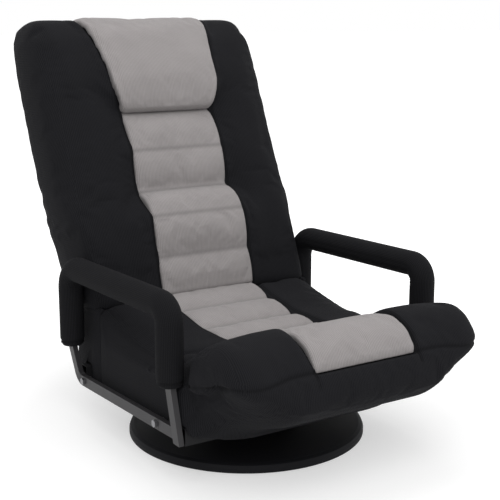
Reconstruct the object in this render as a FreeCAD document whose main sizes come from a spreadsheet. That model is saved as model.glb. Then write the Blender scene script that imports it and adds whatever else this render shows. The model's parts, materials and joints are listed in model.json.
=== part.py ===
import FreeCAD, Part
import math
import os

import Sketcher

# Swivelling floor chair with a reclining back and padded arm loops.
# Millimetres. Origin on the swivel axis at floor level, +Z up, the sitter faces -Y,
# +X is the sitter's left. Everything on the back is drawn upright about the recline
# pivot and then leaned to its rest angle.

SIZES = {
    # gaps and overruns
    "seat_gap": 0.3,
    "running_gap": 0.05,
    "overrun": 2.0,
    # round base on the floor
    "floor_pad_radius": 215.0,
    "floor_pad_thickness": 2.0,
    "base_plate_thickness": 1.5,
    "base_radius": 225.0,
    "base_rim_height": 16.0,
    "base_rim_round": 9.0,
    "base_crown": 5.0,
    "base_wall": 2.0,
    "base_hole_radius": 30.0,
    # pedestal and ball race
    "pedestal_radius": 80.0,
    "pedestal_flange_radius": 104.0,
    "pedestal_wall": 3.0,
    "pedestal_height": 50.0,
    "pedestal_screw_radius": 3.0,
    "pedestal_screw_head_radius": 5.5,
    "pedestal_screw_head_height": 3.0,
    "race_radius": 72.0,
    "race_thickness": 3.0,
    "race_pitch_radius": 58.0,
    "ball_radius": 6.0,
    "race_groove_depth": 1.0,
    "cage_width": 15.0,
    "cage_thickness": 2.0,
    "cage_hole_gap": 0.1,
    "swivel_plate_half_width": 90.0,
    "swivel_bolt_offset": 70.0,
    "king_bolt_radius": 6.0,
    "king_head_radius": 11.0,
    "king_head_height": 7.0,
    "king_washer_radius": 15.0,
    "king_washer_thickness": 2.0,
    "king_nut_height": 9.0,
    # frame bolts
    "bolt_radius": 3.5,
    "bolt_head_radius": 7.0,
    "bolt_head_height": 4.5,
    "nut_height": 5.5,
    # welded seat frame
    "long_tube_width": 30.0,
    "long_tube_height": 20.0,
    "cross_tube_depth": 25.0,
    "cross_tube_height": 30.0,
    "cross_tube_drop": 4.0,
    "square_tube_wall": 1.5,
    "front_cross_y": 190.0,
    "rear_cross_y": 197.0,
    "seat_tube_radius": 9.5,
    "seat_tube_inset": 48.0,
    "seat_tube_front": 240.0,
    "seat_tube_bend": 60.0,
    "round_tube_wall": 1.5,
    "strap_width": 42.0,
    "strap_thickness": 2.0,
    # arm loops, flat tube
    "flat_tube_width": 20.0,
    "flat_tube_thickness": 10.0,
    "flat_tube_wall": 1.2,
    "arm_clearance": 11.0,
    "arm_splay": 14.5,
    "arm_front_y": 190.0,
    "arm_rear_y": 200.0,
    "arm_front_top": 323.0,
    "arm_rear_top": 313.0,
    "arm_front_bend": 30.0,
    "arm_rear_bend": 44.0,
    "arm_foot_bend": 16.0,
    "arm_knee_bend": 60.0,
    "sleeve_radius": 23.5,
    "sleeve_front_end": 190.0,
    "sleeve_rear_end": 160.0,
    # side rails
    "rail_front_height": 101.0,
    "rail_rear_height": 90.0,
    "rail_front_joint": 129.0,
    "rail_rear_joint": 165.0,
    "rail_bolt_setback": 11.0,
    "joiner_length": 36.0,
    # recline pivot, ratchet and back frame
    "pivot_y": 182.0,
    "pivot_height": 160.0,
    "back_lean_angle": 24.0,
    "hinge_inset": 34.7,
    "leaf_thickness": 4.0,
    "seat_leaf_width": 40.0,
    "back_leaf_width": 30.0,
    "back_leaf_length": 150.0,
    "back_leaf_eye": 20.0,
    "ratchet_tip_radius": 24.0,
    "ratchet_tooth_depth": 2.5,
    "ratchet_tooth_width": 2.2,
    "ratchet_step_angle": 7.5,
    "ratchet_mesh_gap": 0.15,
    "pawl_pin_out": 26.0,
    "pawl_pin_up": 31.0,
    "pawl_eye": 6.5,
    "pawl_pin_radius": 2.5,
    "hinge_pin_radius": 5.0,
    "hinge_pin_head_radius": 9.0,
    "hinge_pin_head_height": 3.0,
    "back_tube_radius": 11.0,
    "back_tube_start": 26.0,
    "back_tube_top": 560.0,
    "back_tube_bend": 75.0,
    "cross_bar_radius": 6.0,
    # seat cushion
    "seat_half_width": 238.0,
    "seat_bottom": 118.3,
    "crease_y": 146.0,
    "crease_height": 247.0,
    "seat_dip_height": 214.0,
    "seat_front_height": 243.0,
    "seat_front_y": 214.7,
    "seat_crown": 30.0,
    "seat_skirt": 24.0,
    "pad_half_width": 105.0,
    "pad_depth": 14.0,
    "channel_crown": 4.0,
    # front roll
    "roll_overhang": 18.0,
    "roll_corner": 80.0,
    "roll_crest_y": 304.0,
    "roll_crest_height": 279.0,
    "roll_seam_y": 368.0,
    "roll_seam_height": 233.0,
    "roll_front_y": 389.0,
    "roll_front_height": 192.0,
    "roll_toe_y": 332.0,
    "roll_toe_height": 136.0,
    "roll_pad_rise": 5.0,
    # back cushion
    "back_arm_gap": 1.0,
    "back_chord": 595.0,
    "back_thickness": 162.0,
    "back_lower_thickness": 110.0,
    "back_side_swell": 10.0,
    "lumbar_depth": 38.0,
    "back_bolster": 96.0,
    "back_shoulder_taper": 44.0,
    "back_corner": 46.0,
    "back_crown": 4.0,
    "back_edge_round": 30.0,
    "back_pad_depth": 16.0,
    "neck_inset": 27.3,
    "neck_front": 35.0,
    "neck_radius": 35.5,
    "crease_gap": 1.0,
    "headrest_top_half_width": 141.0,
    "headrest_swell": 25.0,
    "headrest_wrap": 55.0,
    "headrest_side_drop": 8.0,
    # hinge covers
    "hinge_cover_radius": 62.0,
    "hinge_cover_rise": 16.0,
    "hinge_cover_tuck": 11.0,
    "hinge_cover_thickness": 12.0,
}

# counts
BALL_COUNT = 24
PEDESTAL_SCREWS = 6
RATCHET_NOTCHES = 13
REST_NOTCH = 3

# seams across the back, from the crease to the top, as shares of the back's chord,
# each with its depth in front of the chord as a share of the lumbar depth
BACK_SEAM_SHARES = ((0.118, 0.58), (0.252, 1.0), (0.353, -0.22), (0.491, 0.30), (0.629, -0.18))
# how far each channel of the back swells past its two seams, as shares of the channel crown
BACK_SWELL_SHARES = (0.9, 1.1, 3.2, 1.0, 1.2)
# swells up the front of the black back cushion, lower edge to shoulder, as the same shares
BACK_SIDE_SHARES = (0.2, 0.2, 0.2, 0.2, 0.2, 0.2)
# seams across the seat, as shares of the way from the crease to the front of the seat pad,
# each with its height as a share of the drop from the crease to the dip
SEAT_SEAM_SHARES = ((0.0, 0.0), (0.197, 0.55), (0.427, 1.0), (0.640, 1.03), (0.840, 0.85),
                    (1.0, 0.0))
# stations from the middle to the side of a cushion: share of the half width,
# and the share of the crown that the surface has dropped there
CROWN_SHARES = ((0.0, 0.0), (0.44, 0.0), (0.64, 0.03), (0.78, 0.10), (0.88, 0.24),
                (0.95, 0.46), (0.985, 0.72), (1.0, 1.0))
PAD_CROWN_SHARES = ((0.0, 0.0), (0.3, 0.02), (0.6, 0.12), (0.82, 0.36), (0.94, 0.72), (1.0, 1.0))
# strap centres as shares of the frame's run
SEAT_STRAP_SHARES = (0.12, 0.36, 0.60, 0.84)
BACK_STRAP_SHARES = (0.38, 0.50, 0.62, 0.74)
CROSS_BAR_SHARES = (0.27, 0.86)
HALF_SHARE = 0.5

doc = FreeCAD.newDocument("FloorChair")
sheet = doc.addObject("Spreadsheet::Sheet", "Sizes")
PARTS = []


class Size:
    """A size with its value and the text that binds it to the sheet's cells."""

    def __init__(self, value, text):
        self.value = value
        self.text = text

    def __float__(self):
        return float(self.value)

    def __add__(self, other):
        return join(self, "+", other)

    def __radd__(self, other):
        return join(other, "+", self)

    def __sub__(self, other):
        return join(self, "-", other)

    def __rsub__(self, other):
        return join(other, "-", self)

    def __mul__(self, other):
        return join(self, "*", other)

    def __rmul__(self, other):
        return join(other, "*", self)

    def __truediv__(self, other):
        return join(self, "/", other)

    def __neg__(self):
        return join(0, "-", self)


def join(left, sign, right):
    """Join two sizes or plain shares into one size."""
    a = float(left)
    b = float(right)
    value = {"+": a + b, "-": a - b, "*": a * b, "/": a / b if b else 0.0}[sign]
    text = "({} {} {})".format(text_of(left), sign, text_of(right))
    return Size(value, text)


def text_of(size):
    return size.text if isinstance(size, Size) else repr(float(size))


class SheetSizes:
    """Read a named size from the sheet."""

    def __getattr__(self, alias):
        return Size(float(sheet.get(alias)), "Sizes." + alias)


def fill_sheet():
    for row, (alias, value) in enumerate(SIZES.items(), 1):
        sheet.set("A{}".format(row), alias)
        sheet.set("B{}".format(row), str(value))
        sheet.setAlias("B{}".format(row), alias)
    doc.recompute()


fill_sheet()
S = SheetSizes()

X_AXIS = FreeCAD.Vector(1, 0, 0)
Y_AXIS = FreeCAD.Vector(0, 1, 0)
Z_AXIS = FreeCAD.Vector(0, 0, 1)
UPRIGHT = FreeCAD.Rotation()
SIDES = (("left", 1), ("right", -1))


def point(x, y, z):
    return FreeCAD.Vector(float(x), float(y), float(z))


def turned(direction):
    """Rotation that takes +Z to the direction."""
    return FreeCAD.Rotation(Z_AXIS, direction)


def bind(obj, **sizes):
    for prop, size in sizes.items():
        if isinstance(size, Size):
            obj.setExpression(prop, size.text)
        else:
            setattr(obj, prop, size)


def place(obj, x, y, z, rotation=UPRIGHT):
    """Put an object at a point whose coordinates stay bound to the sheet."""
    obj.Placement = FreeCAD.Placement(point(x, y, z), rotation)
    for letter, size in zip("xyz", (x, y, z)):
        if isinstance(size, Size):
            obj.setExpression("Placement.Base." + letter, size.text)
    return obj


def keep(obj, node):
    """Name an object as a finished sub-part."""
    obj.Label = node
    PARTS.append(obj)
    return obj


def cylinder(name, radius, height, x, y, z, direction=Z_AXIS):
    obj = doc.addObject("Part::Cylinder", name)
    bind(obj, Radius=radius, Height=height)
    return place(obj, x, y, z, turned(direction))


def prism(name, radius, height, x, y, z, direction=Z_AXIS):
    obj = doc.addObject("Part::Prism", name)
    obj.Polygon = 6
    bind(obj, Circumradius=radius, Height=height)
    return place(obj, x, y, z, turned(direction))


def block(name, length, width, height, x, y, z):
    """Box of the three sizes with its middle at x, y and its underside at z."""
    obj = doc.addObject("Part::Box", name)
    bind(obj, Length=length, Width=width, Height=height)
    return place(obj, x - length / 2, y - width / 2, z)


def cut(name, base, tool):
    obj = doc.addObject("Part::Cut", name)
    obj.Base = base
    obj.Tool = tool
    return obj


def fuse(name, shapes):
    obj = doc.addObject("Part::MultiFuse", name)
    obj.Shapes = shapes
    return obj


def group(name, links):
    obj = doc.addObject("Part::Compound", name)
    obj.Links = links
    return obj


def feature(name, shape, placement=None):
    """Hold a worked-out shape as an object of the document."""
    obj = doc.addObject("Part::Feature", name)
    obj.Shape = shape
    if placement is not None:
        obj.Placement = placement
    return obj


# sketches and bodies


def new_sketch(body, name, plane):
    sketch = body.newObject("Sketcher::SketchObject", name)
    origin = [item for item in body.Origin.OriginFeatures if item.Role == plane][0]
    sketch.AttachmentSupport = [(origin, "")]
    sketch.MapMode = "FlatFace"
    return sketch


def pin_vertex(sketch, geo, where, across, up):
    """Fix a vertex by its two distances from the sketch's origin."""
    for kind, axis, size in (("DistanceX", -2, across), ("DistanceY", -1, up)):
        if isinstance(size, Size):
            number = sketch.addConstraint(
                Sketcher.Constraint(kind, -1, 1, geo, where, float(size)))
            sketch.setExpression("Constraints[{}]".format(number), size.text)
        else:
            sketch.addConstraint(Sketcher.Constraint("PointOnObject", geo, where, axis))


def draw_polygon(sketch, corners):
    first = sketch.GeometryCount
    count = len(corners)
    for i, corner in enumerate(corners):
        after = corners[(i + 1) % count]
        sketch.addGeometry(Part.LineSegment(point(*corner, 0), point(*after, 0)), False)
    for i in range(count):
        after = first + (i + 1) % count
        sketch.addConstraint(Sketcher.Constraint("Coincident", first + i, 2, after, 1))
    for i, corner in enumerate(corners):
        pin_vertex(sketch, first + i, 1, *corner)


def draw_circle(sketch, across, up, radius):
    geo = sketch.GeometryCount
    circle = Part.Circle(point(across, up, 0), Z_AXIS, float(radius))
    sketch.addGeometry(circle, False)
    number = sketch.addConstraint(Sketcher.Constraint("Radius", geo, float(radius)))
    sketch.setExpression("Constraints[{}]".format(number), radius.text)
    pin_vertex(sketch, geo, 3, across, up)


def new_body(name):
    return doc.addObject("PartDesign::Body", name)


def revolve_body(name, corners):
    """Body turned about Z from a section whose corners are radius and height."""
    body = new_body(name)
    sketch = new_sketch(body, name + "_section", "XZ_Plane")
    draw_polygon(sketch, corners)
    turn = body.newObject("PartDesign::Revolution", name + "_turn")
    turn.Profile = sketch
    turn.ReferenceAxis = (sketch, ["V_Axis"])
    turn.Angle = 360
    return body


def groove_circle(body, name, across, up, radius):
    """Ball groove turned about Z into a body."""
    sketch = new_sketch(body, name + "_section", "XZ_Plane")
    draw_circle(sketch, across, up, radius)
    groove = body.newObject("PartDesign::Groove", name)
    groove.Profile = sketch
    groove.ReferenceAxis = (sketch, ["V_Axis"])
    groove.Angle = 360
    return body


def pad(body, name, plane, draw, length):
    """Pad one outline away from its plane."""
    sketch = new_sketch(body, name + "_outline", plane)
    draw(sketch)
    feature_pad = body.newObject("PartDesign::Pad", name)
    feature_pad.Profile = sketch
    bind(feature_pad, Length=length)
    return feature_pad


def pocket(body, name, plane, draw):
    """Cut one outline through the whole body."""
    sketch = new_sketch(body, name + "_outline", plane)
    draw(sketch)
    hole = body.newObject("PartDesign::Pocket", name)
    hole.Profile = sketch
    hole.Type = "ThroughAll"
    hole.Midplane = True
    return hole


def around(body, name, original, sketch, count, sweep):
    """Repeat a feature about the sketch's normal and make it the body's tip."""
    ring = body.newObject("PartDesign::PolarPattern", name)
    ring.Originals = [original]
    ring.Axis = (sketch, ["N_Axis"])
    ring.Angle = sweep
    ring.Occurrences = count
    body.Tip = ring
    return ring


# wires, sweeps and lofts


def rounded_path(corners, bends):
    """Straight runs through the corners, each inner corner rounded by its bend radius."""
    edges = []
    start = corners[0]
    for i in range(1, len(corners) - 1):
        before = (corners[i - 1] - corners[i]).normalize()
        after = (corners[i + 1] - corners[i]).normalize()
        half = before.getAngle(after) / 2
        radius = float(bends[i - 1])
        reach = radius / math.tan(half)
        enter = corners[i] + before * reach
        leave = corners[i] + after * reach
        inward = (before + after).normalize()
        middle = corners[i] + inward * (radius / math.sin(half) - radius)
        edges.append(Part.LineSegment(start, enter).toShape())
        edges.append(Part.Arc(enter, middle, leave).toShape())
        start = leave
    edges.append(Part.LineSegment(start, corners[-1]).toShape())
    return Part.Wire(edges)


def sweep(path, section, binormal):
    """Carry a closed section along a path with one direction held fixed."""
    pipe = Part.BRepOffsetAPI.MakePipeShell(path)
    pipe.setBiNormalMode(binormal)
    pipe.add(section)
    pipe.build()
    pipe.makeSolid()
    return pipe.shape()


def ring_section(path, radius):
    """Circle square to the start of a path."""
    edge = path.Edges[0]
    direction = edge.tangentAt(edge.FirstParameter)
    return Part.Wire(Part.makeCircle(float(radius), path.Vertexes[0].Point, direction))


def flat_section(path, width, thickness, across):
    """Rectangle square to the start of a path, thin along the across direction."""
    edge = path.Edges[0]
    direction = edge.tangentAt(edge.FirstParameter)
    side = across * (float(thickness) / 2)
    along = direction.cross(across).normalize() * (float(width) / 2)
    middle = path.Vertexes[0].Point
    corners = [middle - side - along, middle + side - along,
               middle + side + along, middle - side + along]
    return Part.makePolygon(corners + corners[:1])


def round_tube(path, radius, wall):
    outer = sweep(path, ring_section(path, radius), tube_plane(path))
    inner = sweep(path, ring_section(path, radius - wall), tube_plane(path))
    return outer.cut(inner)


def tube_plane(path):
    """Normal of the plane that a bent tube lies in."""
    first = path.Edges[0].tangentAt(path.Edges[0].FirstParameter)
    bend = path.Edges[1].tangentAt(path.Edges[1].LastParameter)
    return first.cross(bend).normalize()


def curve_wire(x, corners):
    """Closed wire at one X: corners hold a point and, where the next edge is an arc, its middle."""
    edges = []
    count = len(corners)
    for i, (start, middle) in enumerate(corners):
        end = corners[(i + 1) % count][0]
        a = point(x, *start)
        b = point(x, *end)
        if middle is None:
            edges.append(Part.LineSegment(a, b).toShape())
        else:
            edges.append(Part.Arc(a, point(x, *middle), b).toShape())
    return Part.Wire(edges)


def loft(wires):
    return Part.makeLoft(wires, True, True)


def both_sides(stations):
    """Stations from one side to the other, from those of one half."""
    left = [(-place_share, crown_share) for place_share, crown_share in stations[:0:-1]]
    return left + list(stations)


def between(a, b, swell):
    """Middle of an arc from a to b that swells by a distance to its left."""
    across = (float(b[0]) - float(a[0]), float(b[1]) - float(a[1]))
    length = math.hypot(*across)
    middle = ((float(a[0]) + float(b[0])) / 2, (float(a[1]) + float(b[1])) / 2)
    return (middle[0] - across[1] / length * float(swell),
            middle[1] + across[0] / length * float(swell))


def channels(points, swells):
    """Arcs from each point to the next, each swelling by its own distance."""
    chain = []
    for start, end, swell in zip(points[:-1], points[1:], swells):
        chain.append((start, between(start, end, swell)))
    return chain


def extrude_x(outline, half_width):
    """Prism of a YZ outline from -half_width to +half_width."""
    wire = curve_wire(-half_width, [(corner, None) for corner in outline])
    return Part.Face(wire).extrude(point(half_width * 2, 0, 0))


# heights that several pieces share

PLATE_TOP = S.floor_pad_thickness + S.base_plate_thickness
DISH_TOP = S.floor_pad_thickness + S.base_rim_height + S.base_crown
PEDESTAL_TOP = DISH_TOP + S.pedestal_height
RACE_TOP = PEDESTAL_TOP + S.race_thickness
BALL_HEIGHT = RACE_TOP - S.race_groove_depth + S.ball_radius
UPPER_RACE = BALL_HEIGHT + S.ball_radius - S.race_groove_depth
TUBE_BOTTOM = UPPER_RACE + S.race_thickness
TUBE_TOP = TUBE_BOTTOM + S.long_tube_height
CROSS_BOTTOM = TUBE_BOTTOM - S.cross_tube_drop
CROSS_TOP = CROSS_BOTTOM + S.cross_tube_height
SEAT_TUBE_HEIGHT = CROSS_TOP + S.seat_gap + S.seat_tube_radius

# places across the chair, all set out from the seat's half width

ARM_FOOT = S.seat_half_width + S.arm_clearance + S.flat_tube_thickness / 2
ARM_TOP = ARM_FOOT + S.arm_splay
BACK_SIDE = ARM_TOP - S.sleeve_radius - S.back_arm_gap
ROLL_SIDE = S.seat_half_width + S.roll_overhang
SEAT_TUBE_SIDE = S.seat_half_width - S.seat_tube_inset
HINGE_INNER = S.seat_half_width - S.hinge_inset
NECK_SIDE = HINGE_INNER - S.neck_inset
COVER_INNER = S.seat_half_width - S.hinge_cover_tuck

LEAN = math.radians(float(S.back_lean_angle))
BACK_PLACE = FreeCAD.Placement(
    point(0, S.pivot_y, S.pivot_height),
    FreeCAD.Rotation(X_AXIS, -float(S.back_lean_angle)))


def in_back(y, z):
    """Depth and height of a world point in the back's own upright frame."""
    dy = float(y - S.pivot_y)
    dz = float(z - S.pivot_height)
    depth = dy * math.cos(LEAN) - dz * math.sin(LEAN)
    height = dy * math.sin(LEAN) + dz * math.cos(LEAN)
    return depth, height


CHORD_DEPTH, CREASE_UP = in_back(S.crease_y, S.crease_height)


# round base


def make_floor_pad():
    """Non-slip foam disc glued under the base plate."""
    keep(cylinder("FloorPad", S.floor_pad_radius, S.floor_pad_thickness, 0, 0, 0), "floor_pad")


def make_base_plate():
    """Flat steel disc that closes the underside of the dish."""
    radius = S.base_radius - S.base_wall - S.seat_gap
    plate = cylinder("BasePlate", radius, S.base_plate_thickness, 0, 0, S.floor_pad_thickness)
    keep(plate, "base_plate")


def make_base_dish():
    """Pressed steel dish with a rounded rim."""
    low = S.floor_pad_thickness
    rim = low + S.base_rim_height
    flat = S.pedestal_flange_radius + S.pedestal_screw_head_radius
    chamfer = S.base_rim_round * 0.3
    outer = S.base_radius
    inner = S.base_radius - S.base_wall
    body = revolve_body("BaseDish", [
        (S.base_hole_radius, DISH_TOP),
        (flat, DISH_TOP),
        (outer - S.base_rim_round, rim),
        (outer - chamfer, rim - chamfer),
        (outer, rim - S.base_rim_round),
        (outer, low),
        (inner, low),
        (inner, rim - S.base_rim_round),
        (inner - chamfer, rim - chamfer - S.base_wall),
        (inner - S.base_rim_round, rim - S.base_wall),
        (flat, DISH_TOP - S.base_wall),
        (S.base_hole_radius, DISH_TOP - S.base_wall),
    ])
    keep(body, "base_dish")
    drill_flange(body)


def flange_hole(sketch):
    pitch = (S.pedestal_radius + S.pedestal_flange_radius) / 2
    draw_circle(sketch, pitch, 0, S.pedestal_screw_radius + S.seat_gap)


def drill_flange(body):
    hole = pocket(body, body.Name + "_hole", "XY_Plane", flange_hole)
    around(body, body.Name + "_holes", hole, hole.Profile[0], PEDESTAL_SCREWS, 360)


def make_pedestal():
    """Turned steel drum that carries the ball race."""
    wall = S.pedestal_wall
    inner = S.pedestal_radius - wall
    body = revolve_body("Pedestal", [
        (S.king_bolt_radius + S.seat_gap, PEDESTAL_TOP),
        (S.pedestal_radius, PEDESTAL_TOP),
        (S.pedestal_radius, DISH_TOP + wall),
        (S.pedestal_flange_radius, DISH_TOP + wall),
        (S.pedestal_flange_radius, DISH_TOP),
        (inner, DISH_TOP),
        (inner, PEDESTAL_TOP - wall),
        (S.king_bolt_radius + S.seat_gap, PEDESTAL_TOP - wall),
    ])
    keep(body, "pedestal")
    drill_flange(body)


def make_pedestal_screws():
    """Pan-head screws from the flange into the dish."""
    pitch = float((S.pedestal_radius + S.pedestal_flange_radius) / 2)
    length = S.pedestal_wall + S.base_wall + S.overrun
    screws = []
    for i in range(PEDESTAL_SCREWS):
        turn = 2 * math.pi * i / PEDESTAL_SCREWS
        x = pitch * math.cos(turn)
        y = pitch * math.sin(turn)
        head = cylinder("ScrewHead{}".format(i), S.pedestal_screw_head_radius,
                        S.pedestal_screw_head_height, x, y, DISH_TOP + S.pedestal_wall)
        shank = cylinder("ScrewShank{}".format(i), S.pedestal_screw_radius, length,
                         x, y, DISH_TOP + S.pedestal_wall - length)
        screws.append(fuse("Screw{}".format(i), [head, shank]))
    keep(group("PedestalScrews", screws), "pedestal_screws")


# ball race


def make_lower_race():
    """Grooved steel ring on the pedestal."""
    body = revolve_body("LowerRace", [
        (S.king_bolt_radius + S.seat_gap, RACE_TOP),
        (S.race_radius, RACE_TOP),
        (S.race_radius, PEDESTAL_TOP),
        (S.king_bolt_radius + S.seat_gap, PEDESTAL_TOP),
    ])
    groove_circle(body, "LowerGroove", S.race_pitch_radius, BALL_HEIGHT,
                  S.ball_radius + S.running_gap)
    keep(body, "lower_race")


def make_balls():
    """Steel balls evenly round the race."""
    balls = []
    for i in range(BALL_COUNT):
        turn = 2 * math.pi * i / BALL_COUNT
        ball = doc.addObject("Part::Sphere", "Ball{}".format(i))
        bind(ball, Radius=S.ball_radius)
        place(ball, S.race_pitch_radius * math.cos(turn), S.race_pitch_radius * math.sin(turn),
              BALL_HEIGHT)
        balls.append(ball)
    keep(group("BearingBalls", balls), "bearing_balls")


def make_cage():
    """Nylon ring that spaces the balls."""
    half = S.cage_width / 2
    low = BALL_HEIGHT - S.cage_thickness / 2
    high = BALL_HEIGHT + S.cage_thickness / 2
    body = revolve_body("BallCage", [
        (S.race_pitch_radius - half, high),
        (S.race_pitch_radius + half, high),
        (S.race_pitch_radius + half, low),
        (S.race_pitch_radius - half, low),
    ])

    def ball_hole(sketch):
        draw_circle(sketch, S.race_pitch_radius, 0, S.ball_radius + S.cage_hole_gap)

    hole = pocket(body, "BallHole", "XY_Plane", ball_hole)
    around(body, "BallHoles", hole, hole.Profile[0], BALL_COUNT, 360)
    keep(body, "ball_cage")


def make_upper_race():
    """Square grooved plate bolted under the seat frame."""
    half = S.swivel_plate_half_width
    body = new_body("UpperRace")
    corners = [(-half, -half), (half, -half), (half, half), (-half, half)]
    pad(body, "UpperRacePad", "XY_Plane",
        lambda sketch: draw_polygon(sketch, corners), S.race_thickness)
    groove_circle(body, "UpperGroove", S.race_pitch_radius, BALL_HEIGHT - UPPER_RACE,
                  S.ball_radius + S.running_gap)
    pocket(body, "KingHole", "XY_Plane",
           lambda sketch: draw_circle(sketch, 0, 0, S.king_bolt_radius + S.running_gap))

    def corner_holes(sketch):
        for x in (-1, 1):
            for y in (-1, 1):
                draw_circle(sketch, S.swivel_bolt_offset * x, S.swivel_bolt_offset * y,
                            S.bolt_radius + S.seat_gap)

    pocket(body, "CornerHoles", "XY_Plane", corner_holes)
    place(body, 0, 0, UPPER_RACE)
    keep(body, "upper_race")


def make_king_bolt():
    """Bolt that holds the two race plates together, with its washer and nut."""
    under = PEDESTAL_TOP - S.pedestal_wall
    washer_low = TUBE_BOTTOM + S.seat_gap
    nut_low = washer_low + S.king_washer_thickness
    top = nut_low + S.king_nut_height + S.overrun
    head = prism("KingHead", S.king_head_radius, S.king_head_height,
                 0, 0, under - S.king_head_height)
    shank = cylinder("KingShank", S.king_bolt_radius, top - under, 0, 0, under)
    keep(fuse("KingBolt", [head, shank]), "king_bolt")
    gap_radius = S.king_bolt_radius + S.running_gap
    washer = cylinder("KingWasherDisc", S.king_washer_radius, S.king_washer_thickness,
                      0, 0, washer_low)
    bore = cylinder("KingWasherBore", gap_radius, S.king_washer_thickness, 0, 0, washer_low)
    keep(cut("KingWasher", washer, bore), "king_washer")
    nut = prism("KingNutHex", S.king_head_radius, S.king_nut_height, 0, 0, nut_low)
    nut_bore = cylinder("KingNutBore", gap_radius, S.king_nut_height, 0, 0, nut_low)
    keep(cut("KingNut", nut, nut_bore), "king_nut")


# welded seat frame


def make_long_tube(side, sign):
    """Rectangular tube from the front cross tube to the rear one."""
    x = S.swivel_bolt_offset * sign
    front = S.front_cross_y - S.cross_tube_depth / 2 - S.seat_gap
    rear = S.rear_cross_y - S.cross_tube_depth / 2 - S.seat_gap
    length = front + rear
    middle = (rear - front) / 2
    wall = S.square_tube_wall
    outer = block("LongOuter" + side, S.long_tube_width, length, S.long_tube_height,
                  x, middle, TUBE_BOTTOM)
    inner = block("LongInner" + side, S.long_tube_width - wall * 2, length,
                  S.long_tube_height - wall * 2, x, middle, TUBE_BOTTOM + wall)
    holes = []
    for end in (-1, 1):
        holes.append(cylinder("LongHole{}{}".format(side, end), S.bolt_radius + S.seat_gap,
                              S.long_tube_height, x, S.swivel_bolt_offset * end, TUBE_BOTTOM))
    tools = fuse("LongTools" + side, [inner] + holes)
    keep(cut("LongTube" + side, outer, tools), "long_tube_" + side)


def make_cross_tube(name, y):
    """Rectangular tube across the chair, an arm foot welded at each end."""
    wall = S.square_tube_wall
    length = (ARM_FOOT - S.flat_tube_thickness / 2 - S.seat_gap) * 2
    outer = block(name + "Outer", length, S.cross_tube_depth, S.cross_tube_height,
                  0, y, CROSS_BOTTOM)
    inner = block(name + "Inner", length, S.cross_tube_depth - wall * 2,
                  S.cross_tube_height - wall * 2, 0, y, CROSS_BOTTOM + wall)
    return cut(name, outer, inner)


def make_swivel_bolts():
    """Bolts that clamp the upper race under the long tubes, and their nuts."""
    bolts = []
    nuts = []
    for i, (x, y) in enumerate(((-1, -1), (1, -1), (1, 1), (-1, 1))):
        bx = S.swivel_bolt_offset * x
        by = S.swivel_bolt_offset * y
        length = S.race_thickness + S.long_tube_height + S.nut_height + S.overrun
        head = prism("SwivelHead{}".format(i), S.bolt_head_radius, S.bolt_head_height,
                     bx, by, UPPER_RACE - S.bolt_head_height)
        shank = cylinder("SwivelShank{}".format(i), S.bolt_radius, length, bx, by, UPPER_RACE)
        bolts.append(fuse("SwivelBolt{}".format(i), [head, shank]))
        hexagon = prism("SwivelNutHex{}".format(i), S.bolt_head_radius, S.nut_height,
                        bx, by, TUBE_TOP)
        bore = cylinder("SwivelNutBore{}".format(i), S.bolt_radius + S.running_gap,
                        S.nut_height, bx, by, TUBE_TOP)
        nuts.append(cut("SwivelNut{}".format(i), hexagon, bore))
    keep(group("SwivelBolts", bolts), "swivel_bolts")
    keep(group("SwivelNuts", nuts), "swivel_nuts")


def seat_tube_path():
    rear = float(S.rear_cross_y)
    front = -float(S.seat_tube_front)
    side = float(SEAT_TUBE_SIDE)
    height = float(SEAT_TUBE_HEIGHT)
    corners = [point(-side, rear, height), point(-side, front, height),
               point(side, front, height), point(side, rear, height)]
    return rounded_path(corners, (S.seat_tube_bend, S.seat_tube_bend))


def seat_straps(growth):
    """Elastic straps laid across the seat tube, grown by a clearance."""
    run = float(S.crease_y + S.seat_tube_front)
    low = float(SEAT_TUBE_HEIGHT + S.seat_tube_radius + S.seat_gap) - growth
    straps = []
    for share in SEAT_STRAP_SHARES:
        y = float(S.crease_y) - run * share
        corner = point(-float(SEAT_TUBE_SIDE) - growth,
                       y - float(S.strap_width) / 2 - growth, low)
        straps.append(Part.makeBox(float(SEAT_TUBE_SIDE) * 2 + growth * 2,
                                   float(S.strap_width) + growth * 2,
                                   float(S.strap_thickness) + growth * 2, corner))
    return straps


def make_seat_frame():
    """Bent round tube that carries the cushion, with its elastic straps."""
    keep(feature("SeatFrame", round_tube(seat_tube_path(), S.seat_tube_radius,
                                         S.round_tube_wall)), "seat_frame")
    keep(feature("SeatStraps", Part.makeCompound(seat_straps(0.0))), "seat_straps")


def seat_frame_space():
    """Room in the foam for the seat tube and its straps."""
    path = seat_tube_path()
    gap = float(S.seat_gap)
    tube = sweep(path, ring_section(path, S.seat_tube_radius + S.seat_gap), Z_AXIS)
    return [tube] + seat_straps(gap)


# arm loops


def arm_path(sign, start=0):
    """Loop of one arm from its rear stub, or a later corner, over the top to its front foot."""
    foot = float(ARM_FOOT) * sign
    top = float(ARM_TOP) * sign
    front = -float(S.arm_front_y)
    rear = float(S.arm_rear_y)
    corners = [
        point(foot, S.rail_rear_joint, S.rail_rear_height),
        point(foot, rear, rail_height(rear)),
        point(top, rear, S.sleeve_rear_end),
        point(top, rear, S.arm_rear_top),
        point(top, front, S.arm_front_top),
        point(top, front, S.sleeve_front_end),
        point(foot, front, CROSS_BOTTOM),
    ]
    bends = [S.arm_foot_bend, S.arm_knee_bend, S.arm_rear_bend, S.arm_front_bend,
             S.arm_knee_bend]
    return rounded_path(corners[start:], bends[start:])


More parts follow.
